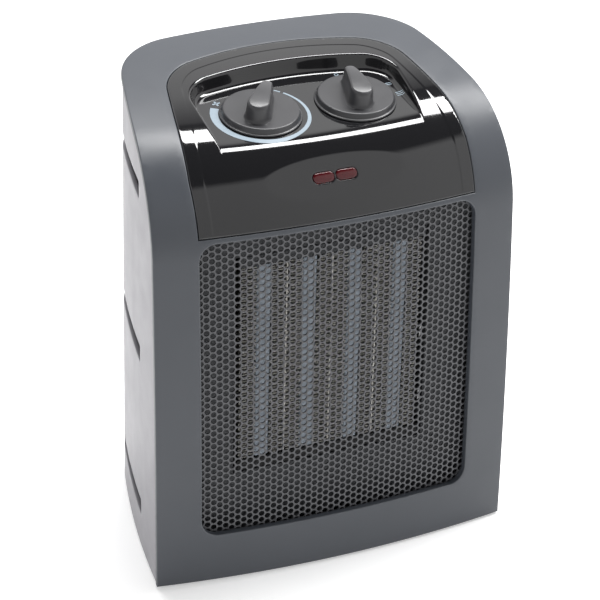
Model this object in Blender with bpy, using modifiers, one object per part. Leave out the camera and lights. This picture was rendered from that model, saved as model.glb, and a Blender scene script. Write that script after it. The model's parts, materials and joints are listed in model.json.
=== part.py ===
"""Ceramic space heater, built as the separate pieces that come apart on a bench.

Units are metres.  +X is to the right seen from the front, +Y is towards the back and +Z is up.  The origin is
on the table, in the middle of the heater's footprint.
"""

import math

import bmesh
import bpy
from mathutils import Matrix, Vector

# ---------------------------------------------------------------- driving dimensions

WIDTH = 0.185              # across the front
DEPTH = 0.138              # front to back, along the table
GAP = 0.0003               # clearance between pieces that touch
FOOT_GAP = 0.001           # how far the feet hold the casing off the table

HALF_WIDTH = WIDTH / 2
FRONT = -DEPTH / 2
REAR = DEPTH / 2

# Side profile of the casing: three tangent arcs, each as its radius, the heading at its end in degrees back
# from vertical, and its number of steps.
PROFILE_ARCS = ((2.900, 3.44, 3), (0.0556, 75.2, 12), (0.333, 91.0, 4))
FRONT_BOW = 0.0075         # how far the front falls back at its side edges
SIDE_TAPER = 0.093         # how fast each side closes in towards the back
SIDE_CURVE = 0.93          # and how fast that taper grows, per metre
REAR_BOW = 1.3             # how fast the back falls forward away from its middle, per metre
REAR_LEAN = 0.0525         # how far the back leans forward for its height
REAR_CORNER = 0.024
SWEEP_STEPS = 5            # steps from the middle of the front to each side
CASING_TOP = 0.260         # height of the tool shapes, clear above the casing

BEZEL_WALL = 0.0032
HOUSING_INSET = 0.0006     # the bezel stands proud of the housing by this much
HOUSING_WALL = 0.0022
PANEL_WALL = 0.0025
GRILLE_WALL = 0.0008

# Grille opening in the bezel
GRILLE_HALF_WIDTH = 0.0703
GRILLE_BOTTOM = 0.0267
GRILLE_TOP = 0.1827
GRILLE_CORNER = 0.0085

# Control panel and the tray sunk into it
PANEL_BOTTOM = 0.1856
PANEL_MARGIN = 0.0208      # width of the bezel beside the panel
PANEL_HALF_WIDTH = 0.070
PANEL_REAR = FRONT + 0.1023
PANEL_REAR_BOW = 3.5
PANEL_CORNER = 0.014
TRAY_HALF_WIDTH = 0.0535
TRAY_REAR = FRONT + 0.086
TRAY_REAR_BOW = 2.8
TRAY_CORNER = 0.013
TRAY_DRAFT = 0.0015        # how much smaller the tray is at its floor
TRAY_LIP = (FRONT + 0.031, 0.2183)
TRAY_TILT = math.radians(7.4)

# Knobs, each turning about an axis square to the tray floor
KNOB_SPREAD = 0.0242
KNOB_SHIFT = 0.0018         # how far right of the middle the pair of knobs stands
KNOB_DEPTH = FRONT + 0.055
KNOB_SKIRT_RADIUS = 0.0197
KNOB_DISC_RADIUS = 0.01815
KNOB_DISC_TOP = 0.0036
HANDLE_TOP = 0.0132
HANDLE_DOME = 6.0
HANDLE_CREST = -0.003       # where along the handle the dome is highest
THERMOSTAT_POINTER = math.radians(56)
MODE_POINTER = math.radians(84)

# Indicator lenses, on the bend of the panel
LENS_CENTRES = (-0.0062, 0.0053)
LENS_HEADING = math.radians(36.2)
LENS_SIZE = (0.0106, 0.0050)

# Heating element, a stack of ceramic bars and fin strips
ELEMENT_FRONT = FRONT + 0.017
ELEMENT_DEPTH = 0.015
ELEMENT_CENTRE_Z = 0.111
ELEMENT_HALF_HEIGHT = 0.0525
CERAMIC_PITCH = 0.0233
CERAMIC_WIDTH = 0.0070
SEPARATOR_WIDTH = 0.0006
FIN_SHEET = 0.0004
FIN_TURNS = 18
HOLDER_HEIGHT = 0.006
DUCT_WALL = 0.0016
FLANGE_FRONT = FRONT + 0.016    # front face of the duct's flange, just behind the grille
FLANGE_WALL = 0.0015
FLANGE_HALF_WIDTH = 0.0725
FLANGE_HEIGHTS = (0.0192, 0.1837)

# Fan, blowing forward through the element
FAN_BLADES = 7
FAN_RADIUS = 0.052
HUB_RADIUS = 0.014
SHROUD_RADIUS = 0.054
SHROUD_WALL = 0.0015
BULKHEAD = FRONT + 0.062   # front face of the plate that carries the fan's shroud
BULKHEAD_WALL = 0.0025
FAN_FRONT = FRONT + 0.067
FAN_LENGTH = 0.016
SHAFT_RADIUS = 0.0016
ROTOR_RADIUS = 0.012
CORE_FRONT = FRONT + 0.094
CORE_DEPTH = 0.014
MOTOR_POST_X = 0.0592
MOTOR_POST_RADIUS = 0.0032
SCREW_X = 0.036
SCREW_HEIGHTS = (0.022, 0.180)
SCREW_SEAT = 0.0010        # depth of the flat seats cut for the screw heads

# Side slots and the round intake in the back
SLOT_HEIGHTS = (0.0236, 0.1111, 0.1986)
SLOT_SIZE = 0.0085
SLOT_START = FRONT + 0.044
SLOT_END = FRONT + 0.108
GUIDE_X = 0.0655            # inner face of the plates behind the side slots
INTAKE_RADIUS = 0.050
INTAKE_PITCH = 0.0065
INTAKE_SLOT = 0.0030
INTAKE_RIB = 0.004

# Base
BASE_BOTTOM = 0.004
BASE_WALL = 0.0025
FOOT_RADIUS = 0.007
FOOT_PLACES = ((0.064, FRONT + 0.024), (0.052, FRONT + 0.106))
PLUNGER_PLACE = (-0.055, FRONT + 0.093)
PLUNGER_RADIUS = 0.0025
GLAND_HEIGHT = 0.018
GLAND_RADIUS = 0.0065

# ---------------------------------------------------------------- scene, collections and materials


def clear_scene():
    for obj in list(bpy.data.objects):
        bpy.data.objects.remove(obj, do_unlink=True)


def new_collection(name):
    collection = bpy.data.collections.new(name)
    bpy.context.scene.collection.children.link(collection)
    return collection


clear_scene()
PARTS = new_collection("ceramic_space_heater")
CUTTERS = new_collection("cutters")


def make_material(name, colour, roughness, metallic=0.0):
    material = bpy.data.materials.new(name)
    material.use_nodes = True
    material.diffuse_color = (*colour, 1)
    shader = material.node_tree.nodes["Principled BSDF"]
    shader.inputs["Base Color"].default_value = (*colour, 1)
    shader.inputs["Roughness"].default_value = roughness
    shader.inputs["Metallic"].default_value = metallic
    return material


SLATE_PLASTIC = make_material("slate_plastic", (0.10, 0.11, 0.125), 0.45)
SILVER_PLASTIC = make_material("silver_plastic", (0.48, 0.47, 0.50), 0.4)
GLOSS_BLACK = make_material("gloss_black", (0.02, 0.02, 0.022), 0.08)
KNOB_PLASTIC = make_material("knob_plastic", (0.09, 0.09, 0.095), 0.5)
BLACK_PLASTIC = make_material("black_plastic", (0.03, 0.03, 0.03), 0.6)
RED_LENS = make_material("red_lens", (0.30, 0.01, 0.02), 0.15)
LAMP_GLASS = make_material("lamp_glass", (0.75, 0.55, 0.45), 0.1)
GRILLE_METAL = make_material("grille_metal", (0.12, 0.12, 0.125), 0.4, 0.7)
CERAMIC = make_material("ceramic", (0.50, 0.55, 0.62), 0.6)
ALUMINIUM = make_material("aluminium", (0.60, 0.57, 0.54), 0.4, 1.0)
STEEL = make_material("steel", (0.55, 0.55, 0.56), 0.3, 1.0)
LAMINATION = make_material("lamination_steel", (0.30, 0.30, 0.31), 0.5, 1.0)
COPPER = make_material("coil_winding", (0.55, 0.22, 0.08), 0.4, 0.6)
RUBBER = make_material("rubber", (0.04, 0.04, 0.04), 0.85)

# ---------------------------------------------------------------- modelling helpers


def add_object(name, shape, material=None, parent=None):
    """Turn a bmesh into an object; pieces get a material and cutters are kept out of sight."""
    bmesh.ops.recalc_face_normals(shape, faces=shape.faces)
    mesh = bpy.data.meshes.new(name)
    shape.to_mesh(mesh)
    shape.free()
    mesh.shade_smooth()
    mesh.set_sharp_from_angle(angle=math.radians(35))
    obj = bpy.data.objects.new(name, mesh)
    obj.parent = parent
    if material is None:
        CUTTERS.objects.link(obj)
        obj.hide_render = True
        obj.display_type = "WIRE"
    else:
        PARTS.objects.link(obj)
        mesh.materials.append(material)
    return obj


def boolean(obj, tool, operation):
    """Cut, join or intersect obj with a tool that is in the cutters collection."""
    modifier = obj.modifiers.new(f"{operation.lower()} {tool.name}", "BOOLEAN")
    modifier.object = tool
    modifier.operation = operation
    modifier.solver = "EXACT"
    return obj


def soften(obj, width=0.0004):
    bevel = obj.modifiers.new("softened edges", "BEVEL")
    bevel.width = width
    bevel.segments = 1
    bevel.limit_method = "ANGLE"
    bevel.angle_limit = math.radians(40)
    return obj


def add_empty(name, place, tilt=0.0):
    """An axis: its local Z is the world's Z, tipped towards the front by tilt."""
    empty = bpy.data.objects.new(name, None)
    empty.empty_display_size = 0.02
    empty.location = place
    empty.rotation_euler = (tilt, 0, 0)
    PARTS.objects.link(empty)
    return empty


def box_shape(x, y, z):
    """A box between pairs of low and high limits."""
    shape = bmesh.new()
    centre = Vector((sum(x) / 2, sum(y) / 2, sum(z) / 2))
    size = Vector((x[1] - x[0], y[1] - y[0], z[1] - z[0]))
    matrix = Matrix.Translation(centre) @ Matrix.Diagonal((*size, 1))
    bmesh.ops.create_cube(shape, size=1, matrix=matrix)
    return shape


def add_box(name, x, y, z, material=None, parent=None):
    return add_object(name, box_shape(x, y, z), material, parent)


def cylinder_shape(radius, z, place=(0, 0), segments=32, top_radius=None):
    shape = bmesh.new()
    matrix = Matrix.Translation((place[0], place[1], sum(z) / 2))
    bmesh.ops.create_cone(
        shape, cap_ends=True, segments=segments, depth=z[1] - z[0], matrix=matrix,
        radius1=radius, radius2=radius if top_radius is None else top_radius,
    )
    return shape


def add_cylinder(name, radius, z, material=None, parent=None, place=(0, 0), segments=32, top_radius=None):
    return add_object(name, cylinder_shape(radius, z, place, segments, top_radius), material, parent)


def add_lathed(name, profile, material=None, parent=None, steps=32, closed=False):
    """Turn a profile of (radius, height) points, given from top to bottom on the outside, about local Z."""
    shape = bmesh.new()
    points = [shape.verts.new((radius, 0, height)) for radius, height in profile]
    pairs = list(zip(points, points[1:]))
    if closed:
        pairs.append((points[-1], points[0]))
    for pair in pairs:
        shape.edges.new(pair)
    obj = add_object(name, shape, material, parent)
    screw = obj.modifiers.new("turned", "SCREW")
    screw.steps = steps
    screw.render_steps = steps
    screw.use_merge_vertices = True
    screw.merge_threshold = 0.0001
    screw.use_smooth_shade = True
    return obj


def prism_shape(outline, bottom, top, upper_outline=None):
    """A closed prism on an outline of (x, y) points.  bottom and top are heights, or functions of y."""
    shape = bmesh.new()
    low = bottom if callable(bottom) else lambda y: bottom
    high = top if callable(top) else lambda y: top
    floor_points = [shape.verts.new((x, y, low(y))) for x, y in outline]
    floor = shape.faces.new(floor_points)
    lifted = bmesh.ops.extrude_face_region(shape, geom=[floor])["geom"]
    roof = next(item for item in lifted if isinstance(item, bmesh.types.BMFace))
    targets = upper_outline or outline
    by_place = {point.co.to_tuple(6): target for point, target in zip(floor_points, targets)}
    for vert in roof.verts:
        x, y = by_place[vert.co.to_tuple(6)]
        vert.co = (x, y, high(y))
    return shape


def swept_shape(outline):
    """A closed solid whose (y, z) outline is carried across the heater, falling back with the front's bow."""
    reach = HALF_WIDTH + 0.006
    stations = [reach * step / SWEEP_STEPS for step in range(-SWEEP_STEPS, SWEEP_STEPS + 1)]
    shape = bmesh.new()
    first = [shape.verts.new((stations[0], y + front_bow(stations[0]), z)) for y, z in outline]
    face = shape.faces.new(first)
    for before, after in zip(stations, stations[1:]):
        lifted = bmesh.ops.extrude_face_region(shape, geom=[face])["geom"]
        next_face = next(item for item in lifted if isinstance(item, bmesh.types.BMFace))
        if before != stations[0]:
            shape.faces.remove(face)
        face = next_face
        shift = Vector((after - before, front_bow(after) - front_bow(before), 0))
        bmesh.ops.translate(shape, vec=shift, verts=face.verts)
    return shape


# ---------------------------------------------------------------- casing geometry


def front_bow(x):
    return FRONT_BOW * (x / HALF_WIDTH) ** 2


def side_profile(offset):
    """Points (y, z) up the front, round the bend and back along the top, moved inwards by offset."""
    y, z, heading = FRONT + offset, FOOT_GAP, 0.0
    points = [(y, z)]
    for radius, end_degrees, steps in PROFILE_ARCS:
        end = math.radians(end_degrees)
        inner = radius - offset
        for step in range(1, steps + 1):
            turned = heading + (end - heading) * step / steps
            points.append((
                y + inner * (math.cos(heading) - math.cos(turned)),
                z + inner * (math.sin(turned) - math.sin(heading)),
            ))
        (y, z), heading = points[-1], end
    return points


def profile_at(heading):
    """Point (y, z) on the bend of the casing where its surface has the given heading."""
    front_radius, bend_radius = PROFILE_ARCS[0][0], PROFILE_ARCS[1][0]
    front_end = math.radians(PROFILE_ARCS[0][1])
    y = FRONT + front_radius * (1 - math.cos(front_end))
    y += bend_radius * (math.cos(front_end) - math.cos(heading))
    z = FOOT_GAP + front_radius * math.sin(front_end)
    z += bend_radius * (math.sin(heading) - math.sin(front_end))
    return y, z


def inside_shape(offset):
    """Everything behind and below the casing's front and top surface, moved inwards by offset."""
    profile = side_profile(offset)
    behind = REAR + 0.03
    return swept_shape(profile + [(behind, profile[-1][1]), (behind, -0.01), (FRONT + offset, -0.01)])


def skin_shape(outer, inner):
    """The layer between two offsets from the casing's front and top surface."""
    return swept_shape(side_profile(outer) + side_profile(inner)[::-1])


def side_at(y, inset=0.0):
    behind = y - FRONT - FRONT_BOW
    return HALF_WIDTH - inset - SIDE_TAPER * behind - SIDE_CURVE * behind ** 2


def rear_at(x, z, inset=0.0):
    return REAR - inset - REAR_LEAN * z - REAR_BOW * x ** 2


def conic_corner(start, corner, end, steps=5, weight=0.75):
    """Points on a round corner from start to end, both included."""
    points = []
    for step in range(steps + 1):
        t = step / steps
        parts = ((1 - t) ** 2, 2 * weight * t * (1 - t), t ** 2)
        points.append(tuple(
            sum(part * point[axis] for part, point in zip(parts, (start, corner, end))) / sum(parts)
            for axis in (0, 1)
        ))
    return points


def plan_outline(side, rear, front, corner, side_steps=4, rear_steps=2):
    """A closed outline from above, with half width side(y), back rear(x) and rounded rear corners."""
    x = side(front)
    for _ in range(20):
        x = side(rear(x))
    start_y, end_x = rear(x) - corner, x - corner
    places = [front + (start_y - front) * step / side_steps for step in range(side_steps)]
    half = [(side(y), y) for y in places]
    half += conic_corner((side(start_y), start_y), (x, rear(x)), (end_x, rear(end_x)))
    half += [(end_x * (1 - step / rear_steps), rear(end_x * (1 - step / rear_steps)))
             for step in range(1, rear_steps + 1)]
    return half + [(-x, y) for x, y in half[-2::-1]]


def body_outline(height, inset):
    return plan_outline(
        side=lambda y: side_at(y, inset),
        rear=lambda x: rear_at(x, height, inset),
        front=FRONT - 0.003 - inset,
        corner=REAR_CORNER - inset,
    )


def body_prism(inset, bottom, top=CASING_TOP):
    return prism_shape(body_outline(bottom, inset), bottom, top, body_outline(top, inset))


def panel_outline(grow=0.0):
    return plan_outline(
        side=lambda y: min(PANEL_HALF_WIDTH, side_at(y, PANEL_MARGIN)) + grow,
        rear=lambda x: PANEL_REAR - PANEL_REAR_BOW * x ** 2 + grow,
        front=FRONT - 0.005,
        corner=PANEL_CORNER,
        side_steps=8,
    )


def tray_outline(grow=0.0, front=FRONT):
    return plan_outline(
        side=lambda y: TRAY_HALF_WIDTH + grow,
        rear=lambda x: TRAY_REAR - TRAY_REAR_BOW * x ** 2 + grow,
        front=front,
        corner=TRAY_CORNER + grow,
        side_steps=1,
    )


def tray_floor(y):
    return TRAY_LIP[1] + (y - TRAY_LIP[0]) * math.tan(TRAY_TILT)


def rounded_rectangle(half_x, half_y, radius, steps=5):
    centres = ((1, 1), (-1, 1), (-1, -1), (1, -1))
    points = []
    for quarter, (side_x, side_y) in enumerate(centres):
        for step in range(steps + 1):
            angle = math.radians(90 * (quarter + step / steps))
            points.append((
                side_x * (half_x - radius) + radius * math.cos(angle),
                side_y * (half_y - radius) + radius * math.sin(angle),
            ))
    return points


def joined(*shapes):
    """One bmesh holding several shapes, which stay separate bodies inside a single tool."""
    whole = bmesh.new()
    for shape in shapes:
        carrier = bpy.data.meshes.new("carrier")
        shape.to_mesh(carrier)
        shape.free()
        whole.from_mesh(carrier)
        bpy.data.meshes.remove(carrier)
    return whole


def turned_to_back(shape, height=0.0, x=0.0):
    """Lay a shape made along Z down, so that its Z runs to the back and its Y runs down."""
    matrix = Matrix.Translation((x, 0, height)) @ Matrix.Rotation(math.radians(-90), 4, "X")
    bmesh.ops.transform(shape, matrix=matrix, verts=shape.verts)
    return shape


# ---------------------------------------------------------------- axes of everything that turns

FAN_AXIS = add_empty("fan_axis", (0, 0, ELEMENT_CENTRE_Z), math.radians(-90))
THERMOSTAT_AXIS = add_empty("thermostat_axis", (KNOB_SHIFT - KNOB_SPREAD, KNOB_DEPTH, tray_floor(KNOB_DEPTH)),
                            TRAY_TILT)
MODE_AXIS = add_empty("mode_axis", (KNOB_SHIFT + KNOB_SPREAD, KNOB_DEPTH, tray_floor(KNOB_DEPTH)), TRAY_TILT)
GLAND_AXIS = add_empty("cord_gland_axis", (0, rear_at(0, GLAND_HEIGHT, HOUSING_INSET), GLAND_HEIGHT),
                       math.radians(-90) + math.atan(REAR_LEAN))

# ---------------------------------------------------------------- casing


def make_front_bezel():
    bezel = add_object("front_bezel", skin_shape(0, BEZEL_WALL), SLATE_PLASTIC)
    boolean(bezel, add_object("bezel_plan", body_prism(0, -0.005)), "INTERSECT")
    half_height = (GRILLE_TOP - GRILLE_BOTTOM) / 2
    hole = prism_shape(
        rounded_rectangle(GRILLE_HALF_WIDTH, half_height, GRILLE_CORNER), FRONT - 0.01, FRONT + 0.03,
    )
    opening = add_object("grille_opening", turned_to_back(hole, (GRILLE_TOP + GRILLE_BOTTOM) / 2))
    boolean(bezel, opening, "DIFFERENCE")
    panel_hole = prism_shape(panel_outline(GAP), PANEL_BOTTOM - GAP, CASING_TOP + 0.01)
    boolean(bezel, add_object("panel_opening", panel_hole), "DIFFERENCE")
    return bezel


def intake_slots():
    """Rows of slots inside a circle, split by a rib down the middle."""
    rows = int(INTAKE_RADIUS // INTAKE_PITCH)
    slots = []
    for row in range(-rows, rows + 1):
        height = ELEMENT_CENTRE_Z + row * INTAKE_PITCH
        reach = math.sqrt(INTAKE_RADIUS ** 2 - (row * INTAKE_PITCH) ** 2)
        if reach < 2 * INTAKE_RIB:
            continue
        limits = (height - INTAKE_SLOT / 2, height + INTAKE_SLOT / 2)
        for side in (-1, 1):
            across = sorted((side * INTAKE_RIB / 2, side * reach))
            slots.append(box_shape(across, (REAR - 0.025, REAR + 0.01), limits))
    return slots


def side_slots():
    slots = []
    for height in SLOT_HEIGHTS:
        limits = (height - SLOT_SIZE / 2, height + SLOT_SIZE / 2)
        for across in ((-HALF_WIDTH, -0.045), (0.045, HALF_WIDTH)):
            slots.append(box_shape(across, (SLOT_START, SLOT_END), limits))
    return slots


def screw_holes(radius, depth_range):
    """Round tools at the four housing screws, all in one shape."""
    return joined(*[
        turned_to_back(
            cylinder_shape(radius, depth_range(side * SCREW_X, height), segments=16), height, side * SCREW_X,
        )
        for side in (-1, 1) for height in SCREW_HEIGHTS
    ])


def make_rear_housing():
    housing = add_object("rear_housing", body_prism(HOUSING_INSET, FOOT_GAP), SILVER_PLASTIC)
    inside_bezel = add_object("inside_bezel", inside_shape(BEZEL_WALL + GAP))
    boolean(housing, inside_bezel, "INTERSECT")
    hollow = add_object("housing_hollow", body_prism(HOUSING_INSET + HOUSING_WALL, -0.01))
    boolean(housing, hollow, "DIFFERENCE")
    boolean(housing, add_object("side_slots", joined(*side_slots())), "DIFFERENCE")
    boolean(housing, add_object("intake_slots", joined(*intake_slots())), "DIFFERENCE")
    holes = screw_holes(0.0019, lambda x, z: (REAR - 0.03, REAR + 0.01))
    boolean(housing, add_object("housing_screw_holes", holes), "DIFFERENCE")
    seats = screw_holes(0.0042, lambda x, z: (rear_at(x, z, HOUSING_INSET + SCREW_SEAT), REAR + 0.01))
    boolean(housing, add_object("housing_screw_seats", seats), "DIFFERENCE")
    gland_hole = add_cylinder("gland_hole", GLAND_RADIUS + GAP, (-0.02, 0.01), parent=GLAND_AXIS)
    boolean(housing, gland_hole, "DIFFERENCE")
    return housing


def make_control_panel():
    panel = add_object("control_panel", prism_shape(panel_outline(), PANEL_BOTTOM, CASING_TOP), GLOSS_BLACK)
    boolean(panel, add_object("panel_surface", inside_shape(0)), "INTERSECT")
    tray_block = prism_shape(
        tray_outline(PANEL_WALL), lambda y: tray_floor(y) - PANEL_WALL, CASING_TOP + 0.01,
    )
    under_panel = add_object("under_panel", inside_shape(PANEL_WALL))
    boolean(under_panel, add_object("tray_block", tray_block), "DIFFERENCE")
    boolean(panel, under_panel, "DIFFERENCE")
    tray = prism_shape(tray_outline(-TRAY_DRAFT), tray_floor, CASING_TOP, tray_outline(TRAY_DRAFT))
    boolean(panel, add_object("tray_hollow", tray), "DIFFERENCE")
    for axis in (THERMOSTAT_AXIS, MODE_AXIS):
        hole = add_cylinder(f"{axis.name}_hole", 0.0042, (-0.02, 0.01), parent=axis, segments=24)
        boolean(panel, hole, "DIFFERENCE")
    for x in LENS_CENTRES:
        lens_hole = lens_solid(f"lens_hole_{'left' if x < 0 else 'right'}", x, GAP, (-0.01, 0.01))
        boolean(panel, lens_hole, "DIFFERENCE")
    return panel


def make_base_plate():
    base = add_object("base_plate", body_prism(
        HOUSING_INSET + HOUSING_WALL + GAP, BASE_BOTTOM, BASE_BOTTOM + BASE_WALL), BLACK_PLASTIC)
    boolean(base, add_object("base_front", inside_shape(BEZEL_WALL + GAP)), "INTERSECT")
    plunger_hole = cylinder_shape(PLUNGER_RADIUS + 0.0006, (0, 0.02), PLUNGER_PLACE, 24)
    boolean(base, add_object("plunger_hole", plunger_hole), "DIFFERENCE")
    return base


def make_feet():
    for place_name, depth_index in (("front", 0), ("rear", 1)):
        x, y = FOOT_PLACES[depth_index]
        for side_name, side in (("left", -1), ("right", 1)):
            foot = add_cylinder(
                f"foot_{place_name}_{side_name}", FOOT_RADIUS - 0.0008, (0, BASE_BOTTOM - GAP), RUBBER,
                place=(side * x, y), segments=24, top_radius=FOOT_RADIUS,
            )
            soften(foot)


def make_front_grille():
    face = BEZEL_WALL + GAP
    grille = add_object("front_grille", skin_shape(face, face + GRILLE_WALL), GRILLE_METAL)
    margin = 0.0035
    limits = box_shape(
        (-GRILLE_HALF_WIDTH - margin, GRILLE_HALF_WIDTH + margin), (FRONT - 0.01, FRONT + 0.03),
        (GRILLE_BOTTOM - margin, GRILLE_TOP + margin),
    )
    boolean(grille, add_object("grille_limits", limits), "INTERSECT")


def make_housing_screws():
    for side_name, side in (("left", -1), ("right", 1)):
        for level_name, height in zip(("bottom", "top"), SCREW_HEIGHTS):
            seat = rear_at(SCREW_X, height, HOUSING_INSET + SCREW_SEAT) + GAP
            head_top = seat + 0.0012
            axis = add_empty(
                f"screw_axis_{level_name}_{side_name}", (side * SCREW_X, 0, height), math.radians(-90),
            )
            shank_end = seat - 0.016
            profile = [
                (0, head_top), (0.0028, head_top - 0.0003), (0.0036, seat), (0.0014, seat),
                (0.0014, shank_end + 0.002), (0, shank_end),
            ]
            add_lathed(f"housing_screw_{level_name}_{side_name}", profile, STEEL, axis, steps=16)


# ---------------------------------------------------------------- controls


def handle_outline(grow=0.0):
    """A teardrop: round and wide at the front, narrow towards the pointing end along +X."""
    front_centre, front_radius = -0.0070, 0.0066 + grow
    tip_centre, tip_radius = 0.0108, 0.0036 + grow
    lean = math.asin((front_radius - tip_radius) / (tip_centre - front_centre))
    points = []
    for centre, radius, start, end in (
        (tip_centre, tip_radius, lean - math.pi / 2, math.pi / 2 - lean),
        (front_centre, front_radius, math.pi / 2 - lean, 3 * math.pi / 2 + lean),
    ):
        for step in range(7):
            angle = start + (end - start) * step / 6
            points.append((centre + radius * math.cos(angle), radius * math.sin(angle)))
    return points


def make_knob(name, axis, pointer):
    profile = [
        (0, KNOB_DISC_TOP), (KNOB_DISC_RADIUS - 0.0006, KNOB_DISC_TOP),
        (KNOB_DISC_RADIUS, KNOB_DISC_TOP - 0.0006),
        (KNOB_DISC_RADIUS + 0.0009, 0.0012), (KNOB_SKIRT_RADIUS, 0.0009), (KNOB_SKIRT_RADIUS, GAP),
        (0.0065, GAP), (0.0065, 0.0010), (0, 0.0010),
    ]
    knob = add_lathed(name, profile, KNOB_PLASTIC, axis, steps=32)
    handle = prism_shape(handle_outline(), 0.0020, HANDLE_TOP, handle_outline(-0.0009))
    for vert in handle.verts:
        if vert.co.z > KNOB_DISC_TOP:
            vert.co.z -= HANDLE_DOME * (vert.co.x - HANDLE_CREST) ** 2
    grip = add_object(f"{name}_handle", handle, parent=axis)
    boolean(knob, grip, "UNION")
    knob.rotation_euler.z = pointer
    grip.rotation_euler.z = pointer
    return knob


def make_dial(name, axis, pointer):
    """A knob, its shaft and the body that the shaft turns in, under the tray."""
    make_knob(f"knob_{name}", axis, pointer)
    ceiling = -PANEL_WALL - GAP
    add_cylinder(f"{name}_shaft", 0.0030, (ceiling - 0.010, 0.0010 - GAP), STEEL, axis, segments=20)
    return ceiling


def make_thermostat():
    ceiling = make_dial("thermostat", THERMOSTAT_AXIS, THERMOSTAT_POINTER)
    body = add_box("thermostat_body", (-0.014, 0.014), (-0.011, 0.011), (ceiling - 0.014, ceiling),
                   CERAMIC, THERMOSTAT_AXIS)
    bore = add_cylinder("thermostat_bore", 0.0034, (ceiling - 0.0115, ceiling + 0.01), parent=THERMOSTAT_AXIS)
    boolean(soften(body), bore, "DIFFERENCE")


def make_mode_switch():
    ceiling = make_dial("mode", MODE_AXIS, MODE_POINTER)
    body = add_cylinder(
        "mode_switch_body", 0.0135, (ceiling - 0.015, ceiling), BLACK_PLASTIC, MODE_AXIS, segments=12,
    )
    bore = add_cylinder("mode_bore", 0.0034, (ceiling - 0.0115, ceiling + 0.01), parent=MODE_AXIS)
    boolean(soften(body), bore, "DIFFERENCE")


def lens_outline(grow):
    half_x, half_y = LENS_SIZE[0] / 2 + grow, LENS_SIZE[1] / 2 + grow
    return rounded_rectangle(half_x, half_y, half_y - 0.0001)


def lens_axis(x):
    """A frame on the panel's surface, facing out, whose Y runs up the surface."""
    y, z = profile_at(LENS_HEADING)
    return Matrix.Translation((x, y + front_bow(x), z)) @ Matrix.Rotation(math.pi / 2 - LENS_HEADING, 4, "X")


def lens_solid(name, x, grow, limits, material=None):
    shape = prism_shape(lens_outline(grow), *limits)
    bmesh.ops.transform(shape, matrix=lens_axis(x), verts=shape.verts)
    return add_object(name, shape, material)


def make_indicators():
    for side, x in zip(("left", "right"), LENS_CENTRES):
        lens = lens_solid(f"lens_{side}", x, 0, (-0.0035, 0.0004), RED_LENS)
        soften(lens, 0.0002)
        lamp = cylinder_shape(0.0024, (-0.0165, -0.0042), segments=16)
        bmesh.ops.transform(lamp, matrix=lens_axis(x), verts=lamp.verts)
        soften(add_object(f"neon_lamp_{side}", lamp, LAMP_GLASS), 0.0008)


# ---------------------------------------------------------------- heating element


def stack_height():
    return ELEMENT_CENTRE_Z - ELEMENT_HALF_HEIGHT, ELEMENT_CENTRE_Z + ELEMENT_HALF_HEIGHT


def element_limits():
    return ELEMENT_FRONT, ELEMENT_FRONT + ELEMENT_DEPTH


def make_fin_strip(name, x):
    """A metal strip folded to and fro between its two limits in x, all the way up the element."""
    low, high = stack_height()
    rise = (high - low) / (2 * FIN_TURNS)
    shift = FIN_SHEET * math.hypot(x[1] - x[0], rise) / rise
    path = [((x[0], x[1] - shift)[turn % 2], low + turn * rise) for turn in range(2 * FIN_TURNS + 1)]
    outline = path + [(px + shift, pz) for px, pz in path[::-1]]
    shape = bmesh.new()
    face = shape.faces.new([shape.verts.new((px, element_limits()[0], pz)) for px, pz in outline])
    lifted = bmesh.ops.extrude_face_region(shape, geom=[face])["geom"]
    moved = [item for item in lifted if isinstance(item, bmesh.types.BMVert)]
    bmesh.ops.translate(shape, vec=(0, ELEMENT_DEPTH, 0), verts=moved)
    add_object(name, shape, ALUMINIUM)


def make_element_stack():
    fin_width = (CERAMIC_PITCH - CERAMIC_WIDTH - SEPARATOR_WIDTH - 4 * GAP) / 2
    for index in range(4):
        centre = (index - 1.5) * CERAMIC_PITCH
        face = CERAMIC_WIDTH / 2
        bar = add_box(f"ceramic_bar_{index + 1}", (centre - face, centre + face), element_limits(),
                      stack_height(), CERAMIC)
        soften(bar)
        for order, side in enumerate((-1, 1)):
            near, far = centre + side * (face + GAP), centre + side * (face + GAP + fin_width)
            make_fin_strip(f"fin_strip_{2 * index + order + 1}", sorted((near, far)))
        if index < 3:
            middle = centre + CERAMIC_PITCH / 2
            half = SEPARATOR_WIDTH / 2
            across = (middle - half, middle + half)
            add_box(f"separator_{index + 1}", across, element_limits(), stack_height(), ALUMINIUM)


def make_element_holders():
    low, high = stack_height()
    y = (element_limits()[0] - 0.001, element_limits()[1] + 0.001)
    levels = {"top": (high + GAP, high + HOLDER_HEIGHT), "bottom": (low - HOLDER_HEIGHT, low - GAP)}
    for name, limits in levels.items():
        soften(add_box(f"element_holder_{name}", (-0.048, 0.048), y, limits, BLACK_PLASTIC))


def make_terminals():
    """Two tags on the right of the element, in the gap between the last fin strip and the duct."""
    for name, height in (("upper", ELEMENT_CENTRE_Z + 0.001), ("lower", ELEMENT_CENTRE_Z - 0.035)):
        soften(add_box(f"terminal_{name}", (0.0470, 0.0480), (ELEMENT_FRONT - 0.002, ELEMENT_FRONT + 0.022),
                       (height - 0.003, height + 0.003), STEEL), 0.0002)


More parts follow.
